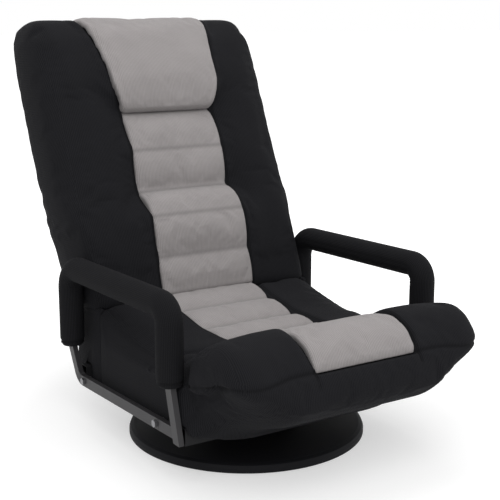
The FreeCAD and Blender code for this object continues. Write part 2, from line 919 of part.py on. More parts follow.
def sleeve_path(sign):
    top = float(ARM_TOP) * sign
    front = -float(S.arm_front_y)
    rear = float(S.arm_rear_y)
    corners = [
        point(top, rear, S.sleeve_rear_end + S.overrun),
        point(top, rear, S.arm_rear_top),
        point(top, front, S.arm_front_top),
        point(top, front, S.sleeve_front_end + S.overrun),
    ]
    return rounded_path(corners, [S.arm_rear_bend, S.arm_front_bend])


def flat_bar(path, width, thickness):
    return sweep(path, flat_section(path, width, thickness, X_AXIS), X_AXIS)


def rail_bolt_line(sign, y, z, radius):
    """Hole through a rail at one bolt."""
    x = float(ARM_FOOT) * sign
    reach = float(S.flat_tube_thickness + S.overrun)
    return Part.makeCylinder(float(radius), reach * 2, point(x - reach, y, z), X_AXIS)


def rail_height(y):
    """Centre height of the rail at one Y."""
    run = float(S.rail_front_joint + S.rail_rear_joint)
    share = (float(S.rail_rear_joint) - y) / run
    return float(S.rail_rear_height) + float(S.rail_front_height - S.rail_rear_height) * share


def rail_bolts_at():
    """Y and Z of the rear and front rail bolts."""
    rear = float(S.rail_rear_joint + S.rail_bolt_setback)
    front = -float(S.rail_front_joint - S.rail_bolt_setback)
    return ((rear, float(S.rail_rear_height)), (front, rail_height(front)))


def make_arm_tube(side, sign):
    """Bent flat tube of one arm loop."""
    path = arm_path(sign)
    wall = S.flat_tube_wall * 2
    outer = flat_bar(path, S.flat_tube_width, S.flat_tube_thickness)
    inner = flat_bar(path, S.flat_tube_width - wall, S.flat_tube_thickness - wall)
    rear, _ = rail_bolts_at()
    hole = rail_bolt_line(sign, *rear, S.bolt_radius + S.seat_gap)
    keep(feature("ArmTube" + side, outer.cut([inner, hole])), "arm_tube_" + side)


def make_arm_sleeve(side, sign):
    """Foam-padded fabric sleeve round the upper part of the loop."""
    path = sleeve_path(sign)
    outer = sweep(path, ring_section(path, S.sleeve_radius), X_AXIS)
    gap = S.seat_gap * 2
    space = flat_bar(arm_path(sign, 1), S.flat_tube_width + gap, S.flat_tube_thickness + gap)
    keep(feature("ArmSleeve" + side, outer.cut(space)), "arm_sleeve_" + side)


def rail_line(sign, rear, front):
    x = float(ARM_FOOT) * sign
    ends = [point(x, rear, rail_height(rear)), point(x, front, rail_height(front))]
    return Part.Wire(Part.LineSegment(*ends).toShape())


def make_side_rail(side, sign):
    """Flat tube between the two feet of an arm loop, with its stub and joiners."""
    rear = float(S.rail_rear_joint - S.seat_gap)
    front = -float(S.rail_front_joint - S.seat_gap)
    foot = -float(S.arm_front_y - S.flat_tube_width / 2 - S.seat_gap * 3)
    wall = S.flat_tube_wall * 2
    holes = []
    for at in rail_bolts_at():
        holes.append(rail_bolt_line(sign, *at, S.bolt_radius + S.seat_gap))
    for node, start, end in (("side_rail", rear, front),
                             ("rail_stub", front - float(S.seat_gap) * 2, foot)):
        path = rail_line(sign, start, end)
        outer = flat_bar(path, S.flat_tube_width, S.flat_tube_thickness)
        inner = flat_bar(path, S.flat_tube_width - wall, S.flat_tube_thickness - wall)
        keep(feature(node + side, outer.cut([inner] + holes)), node + "_" + side)
    joiners = []
    half = float(S.joiner_length) / 2
    fit = wall + S.seat_gap * 2
    for joint in (rear, front):
        path = rail_line(sign, joint + half, joint - half)
        bar = flat_bar(path, S.flat_tube_width - fit, S.flat_tube_thickness - fit)
        joiners.append(bar.cut(holes))
    keep(feature("RailJoiners" + side, Part.makeCompound(joiners)), "rail_joiners_" + side)


def make_rail_bolts(side, sign):
    """Hex bolts through the rail joints, with nuts on the inner face."""
    outward = X_AXIS * sign
    half = S.flat_tube_thickness / 2
    face = (ARM_FOOT + half) * sign
    back = (ARM_FOOT - half) * sign
    bolts = []
    for i, (y, z) in enumerate(rail_bolts_at()):
        tag = "{}{}".format(side, i)
        head = prism("RailHead" + tag, S.bolt_head_radius, S.bolt_head_height,
                     face, y, z, outward)
        length = S.flat_tube_thickness + S.nut_height
        shank = cylinder("RailShank" + tag, S.bolt_radius, length, face, y, z, outward * -1)
        bolts.append(fuse("RailBolt" + tag, [head, shank]))
        hexagon = prism("RailNutHex" + tag, S.bolt_head_radius, S.nut_height,
                        back, y, z, outward * -1)
        bore = cylinder("RailNutBore" + tag, S.bolt_radius + S.running_gap, S.nut_height,
                        back, y, z, outward * -1)
        bolts.append(cut("RailNut" + tag, hexagon, bore))
    keep(group("RailBolts" + side, bolts), "rail_bolts_" + side)


# recliner hinges


def plate_body(name, sign, inner, thickness, draws, upright=None):
    """Body of a plate square to X, its inner face at a distance from the middle."""
    body = new_body(name)
    for i, draw in enumerate(draws):
        pad(body, "{}Pad{}".format(name, i), "YZ_Plane", draw, thickness)
    offset = inner if sign > 0 else -(inner + thickness)
    if upright is None:
        place(body, offset, S.pivot_y, S.pivot_height)
    else:
        body.Placement = upright.multiply(
            FreeCAD.Placement(point(offset, 0, 0), UPRIGHT))
    return body


def ratchet_notch(sketch):
    """Foremost saw tooth space, turned so that the rest notch meets the pawl."""
    turn = LEAN - math.radians(float(S.ratchet_step_angle)) * REST_NOTCH
    back = math.sin(turn)
    up = math.cos(turn)
    root = S.ratchet_tip_radius - S.ratchet_tooth_depth
    top = S.ratchet_tip_radius + S.overrun
    width = S.ratchet_tooth_width
    draw_polygon(sketch, [(root * back, root * up), (top * back, top * up),
                          (top * back - width * up, top * up + width * back)])


def make_seat_leaf(side, sign):
    """Toothed plate welded on the rear cross tube."""
    half = S.seat_leaf_width / 2
    foot = CROSS_TOP + S.seat_gap - S.pivot_height
    corners = [(-half, foot), (half, foot), (half, 0), (-half, 0)]
    inner = HINGE_INNER + S.leaf_thickness + S.seat_gap
    body = plate_body("SeatLeaf" + side, sign, inner, S.leaf_thickness, (
        lambda sketch: draw_circle(sketch, 0, 0, S.ratchet_tip_radius),
        lambda sketch: draw_polygon(sketch, corners)))
    notch = pocket(body, "Notch" + side, "YZ_Plane", ratchet_notch)
    sweep_angle = float(S.ratchet_step_angle) * (RATCHET_NOTCHES - 1)
    ring = around(body, "Notches" + side, notch, notch.Profile[0], RATCHET_NOTCHES, sweep_angle)
    ring.Reversed = True
    pocket(body, "LeafBore" + side, "YZ_Plane",
           lambda sketch: draw_circle(sketch, 0, 0, S.hinge_pin_radius + S.running_gap))
    keep(body, "seat_leaf_" + side)


def make_back_leaf(side, sign):
    """Plate welded to the back tube, turning on the hinge pin."""
    half = S.back_leaf_width / 2
    lobe = S.pawl_pin_out + S.pawl_eye
    strip = [(-half, 0), (half, 0), (half, S.back_leaf_length), (-half, S.back_leaf_length)]
    wing = [(0, S.pawl_pin_up - S.pawl_eye), (lobe, S.pawl_pin_up - S.pawl_eye),
            (lobe, S.pawl_pin_up + S.pawl_eye), (0, S.pawl_pin_up + S.pawl_eye * 3)]
    body = plate_body("BackLeaf" + side, sign, HINGE_INNER, S.leaf_thickness, (
        lambda sketch: draw_circle(sketch, 0, 0, S.back_leaf_eye),
        lambda sketch: draw_polygon(sketch, strip),
        lambda sketch: draw_polygon(sketch, wing)), BACK_PLACE)

    def bores(sketch):
        draw_circle(sketch, 0, 0, S.hinge_pin_radius + S.running_gap)
        draw_circle(sketch, S.pawl_pin_out, S.pawl_pin_up, S.pawl_pin_radius + S.running_gap)

    pocket(body, "BackLeafBores" + side, "YZ_Plane", bores)
    keep(body, "back_leaf_" + side)


def make_pawl(side, sign):
    """Steel pawl whose nose drops into one ratchet space."""
    gap = S.ratchet_mesh_gap
    root = S.ratchet_tip_radius - S.ratchet_tooth_depth + gap * 3
    under = S.ratchet_tip_radius + gap * 3
    arm = [
        (-gap, root),
        (-gap, under),
        (S.pawl_pin_out, under),
        (S.pawl_pin_out, S.pawl_pin_up + S.pawl_eye),
        (-S.ratchet_tooth_width - gap, under + S.pawl_eye),
        (-S.ratchet_tooth_width / 2, under),
    ]
    inner = HINGE_INNER + S.leaf_thickness + S.seat_gap
    body = plate_body("Pawl" + side, sign, inner, S.leaf_thickness, (
        lambda sketch: draw_circle(sketch, S.pawl_pin_out, S.pawl_pin_up, S.pawl_eye),
        lambda sketch: draw_polygon(sketch, arm)), BACK_PLACE)
    pocket(body, "PawlBore" + side, "YZ_Plane",
           lambda sketch: draw_circle(sketch, S.pawl_pin_out, S.pawl_pin_up,
                                      S.pawl_pin_radius + S.running_gap))
    keep(body, "pawl_" + side)


def make_hinge_pins(side, sign):
    """Hinge pin held in the seat leaf, and the pawl's pin held in the back leaf."""
    outward = X_AXIS * sign
    head = S.hinge_pin_head_height
    inner = HINGE_INNER - S.seat_gap
    length = S.leaf_thickness * 2 + S.seat_gap * 3
    shank = cylinder("HingeShank" + side, S.hinge_pin_radius, length,
                     inner * sign, S.pivot_y, S.pivot_height, outward)
    inside = cylinder("HingeInside" + side, S.hinge_pin_head_radius, head,
                      inner * sign, S.pivot_y, S.pivot_height, outward * -1)
    outside = cylinder("HingeOutside" + side, S.hinge_pin_head_radius, head,
                       (inner + length) * sign, S.pivot_y, S.pivot_height, outward)
    keep(fuse("HingePin" + side, [shank, inside, outside]), "hinge_pin_" + side)
    y = S.pawl_pin_out
    z = S.pawl_pin_up
    start = (HINGE_INNER - S.seat_gap) * sign
    pin = cylinder("PawlShank" + side, S.pawl_pin_radius, length, start, y, z, outward)
    caps = []
    for tag, x, way in (("A", start, outward * -1),
                        ("B", (inner + length) * sign, outward)):
        caps.append(cylinder("PawlCap" + tag + side, S.pawl_pin_radius * 2,
                             S.pawl_pin_radius, x, y, z, way))
    whole = fuse("PawlPin" + side, [pin] + caps)
    whole.Placement = BACK_PLACE
    keep(whole, "pawl_pin_" + side)


def make_hinge_cover(side, sign):
    """Padded flap of the seat cover over the outside of a hinge."""
    radius = S.hinge_cover_radius
    rise = S.hinge_cover_rise
    front = S.crease_y + S.seat_gap - S.pivot_y
    low = S.seat_bottom - S.pivot_height
    hem = low - S.seat_skirt
    tube = S.rear_cross_y - S.cross_tube_depth / 2 - S.pivot_y - S.seat_gap
    corners = [(front, hem), (tube, hem), (tube, rise), (0, rise + radius), (front, rise + radius)]
    away = radius + rise + S.overrun
    trim = [(-away, -away), (away, -away), (away, low), (tube, low), (tube, hem), (front, hem),
            (front, away), (-away, away)]
    body = plate_body("HingeCover" + side, sign, COVER_INNER, S.hinge_cover_thickness, (
        lambda sketch: draw_circle(sketch, 0, rise, radius),
        lambda sketch: draw_polygon(sketch, corners)))
    pocket(body, "HingeCoverTrim" + side, "YZ_Plane", lambda sketch: draw_polygon(sketch, trim))
    keep(body, "hinge_cover_" + side)


# back frame


def back_tube_path():
    side = float(HINGE_INNER - S.seat_gap - S.back_tube_radius)
    corners = [point(-side, 0, S.back_tube_start), point(-side, 0, S.back_tube_top),
               point(side, 0, S.back_tube_top), point(side, 0, S.back_tube_start)]
    return rounded_path(corners, (S.back_tube_bend, S.back_tube_bend))


def cross_bars(growth):
    """Round bars welded between the legs of the back tube."""
    side = float(HINGE_INNER - S.seat_gap - S.back_tube_radius * 2 - S.seat_gap)
    radius = float(S.cross_bar_radius) + growth
    bars = []
    for share in CROSS_BAR_SHARES:
        height = float(S.back_tube_top) * share
        reach = side + growth * 4
        bars.append(Part.makeCylinder(radius, reach * 2, point(-reach, 0, height), X_AXIS))
    return bars


def back_straps(growth):
    """Elastic straps across the front of the back tube."""
    side = float(HINGE_INNER - S.seat_gap - S.back_tube_radius)
    front = float(S.back_tube_radius + S.seat_gap + S.strap_thickness) + growth
    straps = []
    for share in BACK_STRAP_SHARES:
        low = float(S.back_tube_top) * share - growth
        corner = point(-side - growth, -front, low)
        straps.append(Part.makeBox(side * 2 + growth * 2,
                                   float(S.strap_thickness) + growth * 2,
                                   float(S.strap_width) + growth * 2, corner))
    return straps


def make_back_frame():
    """Bent round tube inside the back, with its bars and straps."""
    tube = round_tube(back_tube_path(), S.back_tube_radius, S.round_tube_wall)
    keep(feature("BackFrame", tube, BACK_PLACE), "back_frame")
    keep(feature("BackBars", Part.makeCompound(cross_bars(0.0)), BACK_PLACE), "back_bars")
    keep(feature("BackStraps", Part.makeCompound(back_straps(0.0)), BACK_PLACE), "back_straps")


def back_frame_space():
    """Room in the foam for the back tube, leaves, bars and straps."""
    gap = float(S.seat_gap)
    path = back_tube_path()
    tube = sweep(path, ring_section(path, S.back_tube_radius + S.seat_gap), Y_AXIS)
    spaces = [tube] + cross_bars(gap) + back_straps(gap)
    width = float(S.back_leaf_width) + gap * 2
    for _, sign in SIDES:
        thickness = float(S.leaf_thickness) + gap * 2
        inner = float(HINGE_INNER) - gap
        x = inner if sign > 0 else -(inner + thickness)
        spaces.append(Part.makeBox(thickness, width, float(S.back_leaf_length) + gap,
                                   point(x, -width / 2, 0)))
    return spaces


# seat cushions


def seat_line(drop):
    """Seam points along the seat's top from the crease to its front, lowered by a drop."""
    run = S.crease_y + S.seat_front_y - S.seat_gap
    fall = S.crease_height - S.seat_dip_height
    points = []
    for along_share, fall_share in SEAT_SEAM_SHARES:
        points.append((S.crease_y - run * along_share,
                       S.crease_height - fall * fall_share - drop))
    points[-1] = (points[-1][0], S.seat_front_height - drop)
    return points


def front_cross_space():
    """Room in the skirt of the seat for the front cross tube."""
    reach = float(ROLL_SIDE)
    half = float(S.cross_tube_depth) / 2 + float(S.seat_gap)
    low = float(CROSS_BOTTOM)
    height = float(S.cross_tube_height + S.seat_gap)
    corner = point(-reach, -float(S.front_cross_y) - half, low)
    return Part.makeBox(reach * 2, half * 2, height, corner)


def make_seat_cushion():
    """Black main cushion with a crowned top and a skirt down its sides."""
    wires = []
    for place_share, crown_share in both_sides(CROWN_SHARES):
        drop = S.seat_crown * crown_share
        line = seat_line(drop)
        low = S.seat_bottom - S.seat_skirt * crown_share
        corners = line + [(line[-1][0], low), (S.crease_y, low)]
        wires.append(curve_wire(S.seat_half_width * place_share,
                                [(corner, None) for corner in corners]))
    roof = S.crease_height + S.seat_front_height
    floor = seat_line(S.pad_depth)
    front = floor[-1][0] - S.overrun
    rear = S.crease_y + S.overrun
    outline = [(rear, floor[0][1])] + floor + [(front, floor[-1][1]), (front, roof), (rear, roof)]
    recess = extrude_x(outline, S.pad_half_width + S.seat_gap)
    shape = loft(wires).cut([recess, front_cross_space()] + seat_frame_space())
    keep(feature("SeatCushion", shape), "seat_cushion")


def pad_wires(points_at, underside, swells, half_width, crown):
    """Sections of a grey pad: sewn channels on top, straight underneath."""
    wires = []
    for place_share, crown_share in both_sides(PAD_CROWN_SHARES):
        top = points_at(crown * crown_share)
        chain = channels(top, [swell * (1.0 - crown_share * HALF_SHARE) for swell in swells])
        corners = chain + [(top[-1], None)] + [(corner, None) for corner in underside]
        wires.append(curve_wire(half_width * place_share, corners))
    return wires


def make_seat_pad():
    """Grey seat pad sewn into channels, with a plain slope up to the front roll."""
    under = seat_line(S.pad_depth - S.seat_gap)
    swells = [-S.channel_crown] * (len(SEAT_SEAM_SHARES) - 1)
    wires = pad_wires(seat_line, under[::-1], swells, S.pad_half_width, S.channel_crown)
    keep(feature("SeatPad", loft(wires)), "seat_pad")


def roll_outline(front_share, crown_share):
    """Corners of the front roll where the plan has drawn in to a share of its corner."""
    drop = S.seat_crown * crown_share
    skirt = S.seat_skirt * crown_share
    back = S.seat_front_y + S.seat_gap
    pull = S.roll_corner * (1.0 - front_share)
    rear_top = (-back, S.seat_front_height - drop)
    crest = (-(S.roll_crest_y - pull * 0.3), S.roll_crest_height - drop)
    seam = (-(S.roll_seam_y - pull), S.roll_seam_height - drop * 0.6)
    nose = (-(S.roll_front_y - pull), S.roll_front_height)
    toe = (-(S.roll_toe_y - pull), S.roll_toe_height - skirt)
    heel = (-back, S.seat_bottom - skirt)
    return rear_top, crest, seam, nose, toe, heel


def roll_stations():
    """Stations across the roll: share of the half width, corner share and crown share."""
    corner = float(S.roll_corner / ROLL_SIDE)
    stations = [(0.0, 1.0, 0.0), (0.42, 1.0, 0.0), (1.0 - corner, 1.0, 0.04)]
    for turn_share in (0.22, 0.42, 0.60, 0.76, 0.88, 0.96):
        turn = turn_share * math.pi / 2
        stations.append((1.0 - corner + corner * math.sin(turn), math.cos(turn),
                         1.0 - math.cos(turn)))
    mirrored = [(-a, b, c) for a, b, c in stations[:0:-1]]
    return mirrored + stations


def make_front_roll():
    """Black front roll with its boxing and rounded corners."""
    wires = []
    for place_share, front_share, crown_share in roll_stations():
        rear_top, crest, seam, nose, toe, heel = roll_outline(front_share, crown_share)
        wires.append(curve_wire(ROLL_SIDE * place_share, [
            (rear_top, between(rear_top, crest, -S.channel_crown)),
            (crest, between(crest, seam, -S.channel_crown * 2)),
            (seam, between(seam, nose, -S.channel_crown)),
            (nose, between(nose, toe, -S.channel_crown)),
            (toe, None),
            (heel, None),
        ]))
    rear_top, crest, seam, _, _, _ = roll_outline(1.0, 0)
    depth = S.pad_depth
    outline = [
        (rear_top[0] + S.overrun, rear_top[1] - depth),
        (rear_top[0], rear_top[1] - depth),
        (crest[0], crest[1] - depth),
        (seam[0] + depth * 0.4, seam[1] - depth * 0.2),
        (seam[0] - S.overrun * 4, seam[1] - depth * 0.2),
        (seam[0] - S.overrun * 4, crest[1] + depth),
        (rear_top[0] + S.overrun, crest[1] + depth),
    ]
    recess = extrude_x(outline, S.pad_half_width + S.seat_gap)
    shape = loft(wires).cut([recess] + seat_frame_space())
    keep(feature("FrontRoll", shape), "front_roll")


def make_roll_pad():
    """Grey middle of the front roll."""
    rear_top, crest, seam, _, _, _ = roll_outline(1.0, 0)
    depth = S.pad_depth - S.seat_gap
    rise = S.roll_pad_rise

    def top_points(drop):
        return [(rear_top[0], rear_top[1] + rise * 0.2 - drop),
                (crest[0], crest[1] + rise - drop),
                (seam[0], seam[1] - drop * 0.3)]

    under = [(seam[0] + S.pad_depth * 0.4, seam[1] - depth * 0.2),
             (crest[0], crest[1] - depth), (rear_top[0], rear_top[1] - depth)]
    wires = pad_wires(top_points, under, [-S.channel_crown, -S.channel_crown * 2.6],
                      S.pad_half_width, S.roll_pad_rise)
    keep(feature("RollPad", loft(wires)), "roll_pad")


# back cushions


def back_point(along, depth):
    """Point of the back's upright frame from the chord length and the depth in front of it."""
    return (CHORD_DEPTH - float(depth), CREASE_UP + float(along))


def back_low():
    """Height of the underside of the main back cushion."""
    return float(S.crease_height - S.pivot_height + S.crease_gap)


def back_seams(blend, drop):
    """Seam points up the front, from the S-line of the grey seams to a plain side."""
    points = []
    for along_share, depth_share in BACK_SEAM_SHARES:
        sewn = S.lumbar_depth * depth_share
        depth = sewn * (1.0 - blend) + S.back_side_swell * blend
        points.append(back_point(S.back_chord * along_share, depth - drop))
    return points


def squeeze(points, low, high):
    """Spread the heights of a chain of points evenly between two heights."""
    spread = []
    for i, (depth, _) in enumerate(points, 1):
        spread.append((depth, low + (high - low) * i / (len(points) + 1)))
    return spread


def back_wire(place_share, blend, drop, inset):
    """Section of the back cushion at one station."""
    low = back_low() + inset
    edge = float(S.back_edge_round)
    depth = CHORD_DEPTH - float(S.back_side_swell) * blend + inset
    rear = CHORD_DEPTH + float(S.back_thickness) - inset
    rear_low = CHORD_DEPTH + float(S.back_lower_thickness) - inset
    top = CREASE_UP + float(S.back_chord) - drop
    shoulder = top - edge * HALF_SHARE
    seams = back_seams(blend, inset)
    if blend == 1.0:
        seams = squeeze(seams, low, shoulder)
    front_top = (depth + float(S.back_shoulder_taper) * blend, shoulder)
    rear_top = (rear, shoulder)
    crown = ((front_top[0] + rear_top[0]) / 2, top)
    swells = [float(S.channel_crown) * share for share in BACK_SIDE_SHARES]
    corners = channels([(depth, low)] + seams + [front_top], swells)
    corners += [(front_top, crown), (rear_top, None),
                ((rear, low + edge * 2), None), ((rear_low, low), None)]
    return curve_wire(BACK_SIDE * place_share, corners)


def back_stations():
    """Place share, side blend, top drop and edge inset across the back."""
    width = float(BACK_SIDE)
    bolster = float(S.back_bolster)
    corner = float(S.back_corner)
    edge = float(S.back_edge_round)
    crown = float(S.back_crown)
    stations = [(0.0, 0.0, 0.0, 0.0),
                (float(S.pad_half_width) / width, 0.0, crown * 0.3, 0.0),
                (1.0 - bolster / width, 0.8, crown * 0.6, 0.0)]
    for x_share in (0.0, 0.35, 0.60, 0.80, 0.90, 0.97, 1.0):
        x = width - corner + corner * x_share
        drop = crown * 0.6 + corner - math.sqrt(corner ** 2 - (corner * x_share) ** 2)
        into = max(0.0, (x - width + edge) / edge)
        inset = edge * 0.75 * (1.0 - math.sqrt(1.0 - into ** 2))
        stations.append((x / width, 1.0, drop, inset))
    mirrored = [(-row[0],) + row[1:] for row in stations[:0:-1]]
    return mirrored + stations


def headrest_seam():
    """Height of the seam under the headrest."""
    return CREASE_UP + float(S.back_chord) * BACK_SEAM_SHARES[-1][0]


def headrest_panel(gap):
    """Trapezoid the headrest is cut to, wider at the top, grown by a clearance."""
    low_half = float(S.pad_half_width) + gap
    top_half = float(S.headrest_top_half_width) + gap
    seam = headrest_seam()
    top = CREASE_UP + float(S.back_chord) + float(S.overrun)
    front = CHORD_DEPTH - float(S.lumbar_depth) * 2
    corners = [point(-low_half, front, seam), point(low_half, front, seam),
               point(top_half, front, top), point(-top_half, front, top)]
    panel = Part.Face(Part.makePolygon(corners + corners[:1]))
    return panel.extrude(point(0, float(S.back_thickness), 0))


def make_back_cushion():
    """Black back cushion: side bolsters, rounded top corners and rear."""
    wires = [back_wire(*station) for station in back_stations()]
    low = back_low() - float(S.overrun)
    floor = CHORD_DEPTH + float(S.back_pad_depth)
    front = CHORD_DEPTH - float(S.lumbar_depth) * 2
    seam = headrest_seam()
    top = CREASE_UP + float(S.back_chord)
    ledge = top - float(S.back_pad_depth + S.headrest_side_drop * 2)
    wrap = CHORD_DEPTH + float(S.headrest_wrap + S.seat_gap)
    over = top + float(S.overrun)
    recess = extrude_x([(front, low), (floor, low), (floor, seam), (front, seam)],
                       float(S.pad_half_width + S.seat_gap))
    hood = extrude_x([(front, seam), (floor, seam), (floor, ledge), (wrap, ledge),
                      (wrap, over), (front, over)], float(BACK_SIDE))
    headrest = hood.common(headrest_panel(float(S.seat_gap)))
    shape = loft(wires).cut([recess, headrest] + back_frame_space())
    keep(feature("BackCushion", shape, BACK_PLACE), "back_cushion")


def make_back_pad():
    """Grey back pad sewn into five channels, the lower three forming the lumbar."""
    low = back_low()
    floor = CHORD_DEPTH + float(S.back_pad_depth - S.seat_gap)

    def seams(drop):
        start = (CHORD_DEPTH - float(S.lumbar_depth) * 0.2 + float(drop), low)
        points = back_seams(0.0, drop)
        points[-1] = (points[-1][0], points[-1][1] - float(S.seat_gap))
        return [start] + points

    swells = [float(S.channel_crown) * share for share in BACK_SWELL_SHARES]
    top = seams(0)[-1][1]
    under = [(floor, top), (floor, low)]
    wires = pad_wires(seams, under, swells, S.pad_half_width, S.channel_crown)
    keep(feature("BackPad", loft(wires), BACK_PLACE), "back_pad")


def make_headrest():
    """Grey headrest pad that swells over the seam below it and wraps over the top."""
    gap = float(S.seat_gap)
    seam = headrest_seam()
    chord = float(S.back_chord)
    swell = float(S.headrest_swell)
    depth = float(S.back_pad_depth) - gap
    top = CREASE_UP + chord
    ledge = top - depth - float(S.headrest_side_drop) * 2
    wires = []
    for place_share, crown_share in both_sides(PAD_CROWN_SHARES):
        drop = float(S.headrest_side_drop) * crown_share
        front = [
            (back_seams(0.0, drop)[-1][0], seam),
            back_point(chord * 0.731, swell - drop),
            back_point(chord * 0.945, -drop),
            (CHORD_DEPTH + float(S.headrest_wrap), top - drop),
        ]
        back = [(front[3][0], ledge), (CHORD_DEPTH + depth, ledge), (CHORD_DEPTH + depth, seam)]
        chain = channels(front, (swell * 0.2, swell * 0.2, swell * 0.25))
        corners = chain + [(front[3], None)] + [(corner, None) for corner in back]
        wires.append(curve_wire(S.headrest_top_half_width * place_share, corners))
    shape = loft(wires).common(headrest_panel(0.0))
    keep(feature("HeadrestPad", shape, BACK_PLACE), "headrest_pad")


def make_back_neck():
    """Foam block behind the seat that turns about the pivot."""
    body = new_body("BackNeck")
    half = NECK_SIDE
    top = S.crease_height - S.pivot_height + S.crease_gap - S.seat_gap
    corners = [(-S.neck_front, 0), (S.neck_radius, 0), (S.neck_radius, top),
               (-S.neck_front, top)]
    pad(body, "NeckKnuckle", "YZ_Plane",
        lambda sketch: draw_circle(sketch, 0, 0, S.neck_radius), half * 2)
    pad(body, "NeckBlock", "YZ_Plane", lambda sketch: draw_polygon(sketch, corners), half * 2)
    body.Placement = BACK_PLACE.multiply(FreeCAD.Placement(point(-half, 0, 0), UPRIGHT))
    keep(body, "back_neck")


def make_all():
    make_floor_pad()
    make_base_plate()
    make_base_dish()
    make_pedestal()
    make_pedestal_screws()
    make_lower_race()
    make_balls()
    make_cage()
    make_upper_race()
    make_king_bolt()
    keep(make_cross_tube("FrontCross", -S.front_cross_y), "front_cross_tube")
    keep(make_cross_tube("RearCross", S.rear_cross_y), "rear_cross_tube")
    make_swivel_bolts()
    make_seat_frame()
    for side, sign in SIDES:
        make_long_tube(side, sign)
        make_arm_tube(side, sign)
        make_arm_sleeve(side, sign)
        make_side_rail(side, sign)
        make_rail_bolts(side, sign)
        make_seat_leaf(side, sign)
        make_back_leaf(side, sign)
        make_pawl(side, sign)
        make_hinge_pins(side, sign)
        make_hinge_cover(side, sign)
    make_back_frame()
    make_seat_cushion()
    make_seat_pad()
    make_front_roll()
    make_roll_pad()
    make_back_cushion()
    make_back_pad()
    make_headrest()
    make_back_neck()


def check_and_write():
    """Recompute, refuse a failed object or shape, then write one file for each sub-part."""
    doc.recompute()
    for obj in doc.Objects:
        if "Invalid" in obj.State or "Error" in obj.State:
            raise RuntimeError("failed object: " + obj.Name)
    for part in PARTS:
        if part.Shape.isNull() or not part.Shape.isValid():
            raise RuntimeError("bad shape: " + part.Label)
    os.makedirs("parts", exist_ok=True)
    for part in PARTS:
        part.Shape.exportStep(os.path.join("parts", part.Label + ".step"))


make_all()
check_and_write()
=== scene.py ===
import json
import math

import bpy
import numpy as np
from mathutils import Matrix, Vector


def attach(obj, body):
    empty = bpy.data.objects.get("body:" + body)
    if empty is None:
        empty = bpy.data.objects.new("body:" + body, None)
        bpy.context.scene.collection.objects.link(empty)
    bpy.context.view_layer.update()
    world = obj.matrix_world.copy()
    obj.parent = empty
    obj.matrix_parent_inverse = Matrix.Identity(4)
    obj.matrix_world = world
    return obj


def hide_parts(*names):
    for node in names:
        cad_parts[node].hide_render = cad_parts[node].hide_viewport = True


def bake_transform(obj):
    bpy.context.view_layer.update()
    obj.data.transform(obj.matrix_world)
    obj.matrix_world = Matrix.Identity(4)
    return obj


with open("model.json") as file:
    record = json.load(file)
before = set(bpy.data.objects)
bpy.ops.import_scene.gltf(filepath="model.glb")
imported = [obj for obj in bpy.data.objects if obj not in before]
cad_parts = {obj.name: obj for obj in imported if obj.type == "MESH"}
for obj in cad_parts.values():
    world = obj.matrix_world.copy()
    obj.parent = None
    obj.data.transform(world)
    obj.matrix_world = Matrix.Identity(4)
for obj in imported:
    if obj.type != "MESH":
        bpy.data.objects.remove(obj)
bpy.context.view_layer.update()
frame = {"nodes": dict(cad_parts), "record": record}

# Camera, floor and lights. The chair is seen from its right front and a little above, on a
# plain white floor, under a large soft key light, with a weaker fill from the picture's right
# and a soft lamp overhead.

camera = bpy.data.objects.new("camera", bpy.data.cameras.new("camera"))
camera.data.lens = 78.02
camera.data.sensor_width = 36.0
camera.location = (-1.06715, -1.66672, 0.77829)
camera_way = Vector((0.5300, 0.8212, -0.2115))
camera.rotation_euler = camera_way.to_track_quat("-Z", "Y").to_euler()
bpy.context.collection.objects.link(camera)
bpy.context.scene.camera = camera
bpy.context.scene.view_settings.view_transform = "Standard"


def node(tree, kind, inputs=(), **settings):
    """Add a shader node, set its options, and give each named input a value or a link."""
    made = tree.nodes.new(kind)
    for key, value in settings.items():
        setattr(made, key, value)
    for key, value in dict(inputs).items():
        if isinstance(value, bpy.types.NodeSocket):
            tree.links.new(value, made.inputs[key])
        else:
            made.inputs[key].default_value = value
    return made


def maths(tree, operation, *values):
    """Output of one Math node."""
    return node(tree, "ShaderNodeMath", dict(enumerate(values)), operation=operation).outputs[0]


def seen_directly(tree):
    """1 for rays from the camera, and for rays that a mirror or glass sends on."""
    path = node(tree, "ShaderNodeLightPath")
    gloss = maths(tree, "MAXIMUM", path.outputs["Is Camera Ray"], path.outputs["Is Glossy Ray"])
    return maths(tree, "MAXIMUM", gloss, path.outputs["Is Transmission Ray"])


world = bpy.data.worlds.new("studio")
bpy.context.scene.world = world
world.use_nodes = True
tree = world.node_tree
tree.nodes.clear()
ambient = node(tree, "ShaderNodeBackground", {"Color": (1, 1, 1, 1), "Strength": 0.62})
backdrop = node(tree, "ShaderNodeBackground", {"Color": (1, 1, 1, 1), "Strength": 1.0})
sky = node(tree, "ShaderNodeMixShader", {0: seen_directly(tree), 1: ambient.outputs[0],
                                         2: backdrop.outputs[0]})
node(tree, "ShaderNodeOutputWorld", {0: sky.outputs[0]})

# each lamp: name, place and size in metres, power in watts; all point at the chair's middle
chair_middle = Vector((0, 0, 0.35))
for name, place, size, power in (("key", (-1.5, -2.3, 2.9), 2.4, 62.0),
                                 ("fill", (2.6, -1.6, 1.8), 2.0, 16.0),
                                 ("top", (0.2, 0.6, 3.2), 2.4, 26.0)):
    lamp = bpy.data.objects.new(name, bpy.data.lights.new(name, "AREA"))
    lamp.data.size = size
    lamp.data.energy = power
    lamp.location = place
    lamp.rotation_euler = (chair_middle - Vector(place)).to_track_quat("-Z", "Y").to_euler()
    bpy.context.collection.objects.link(lamp)

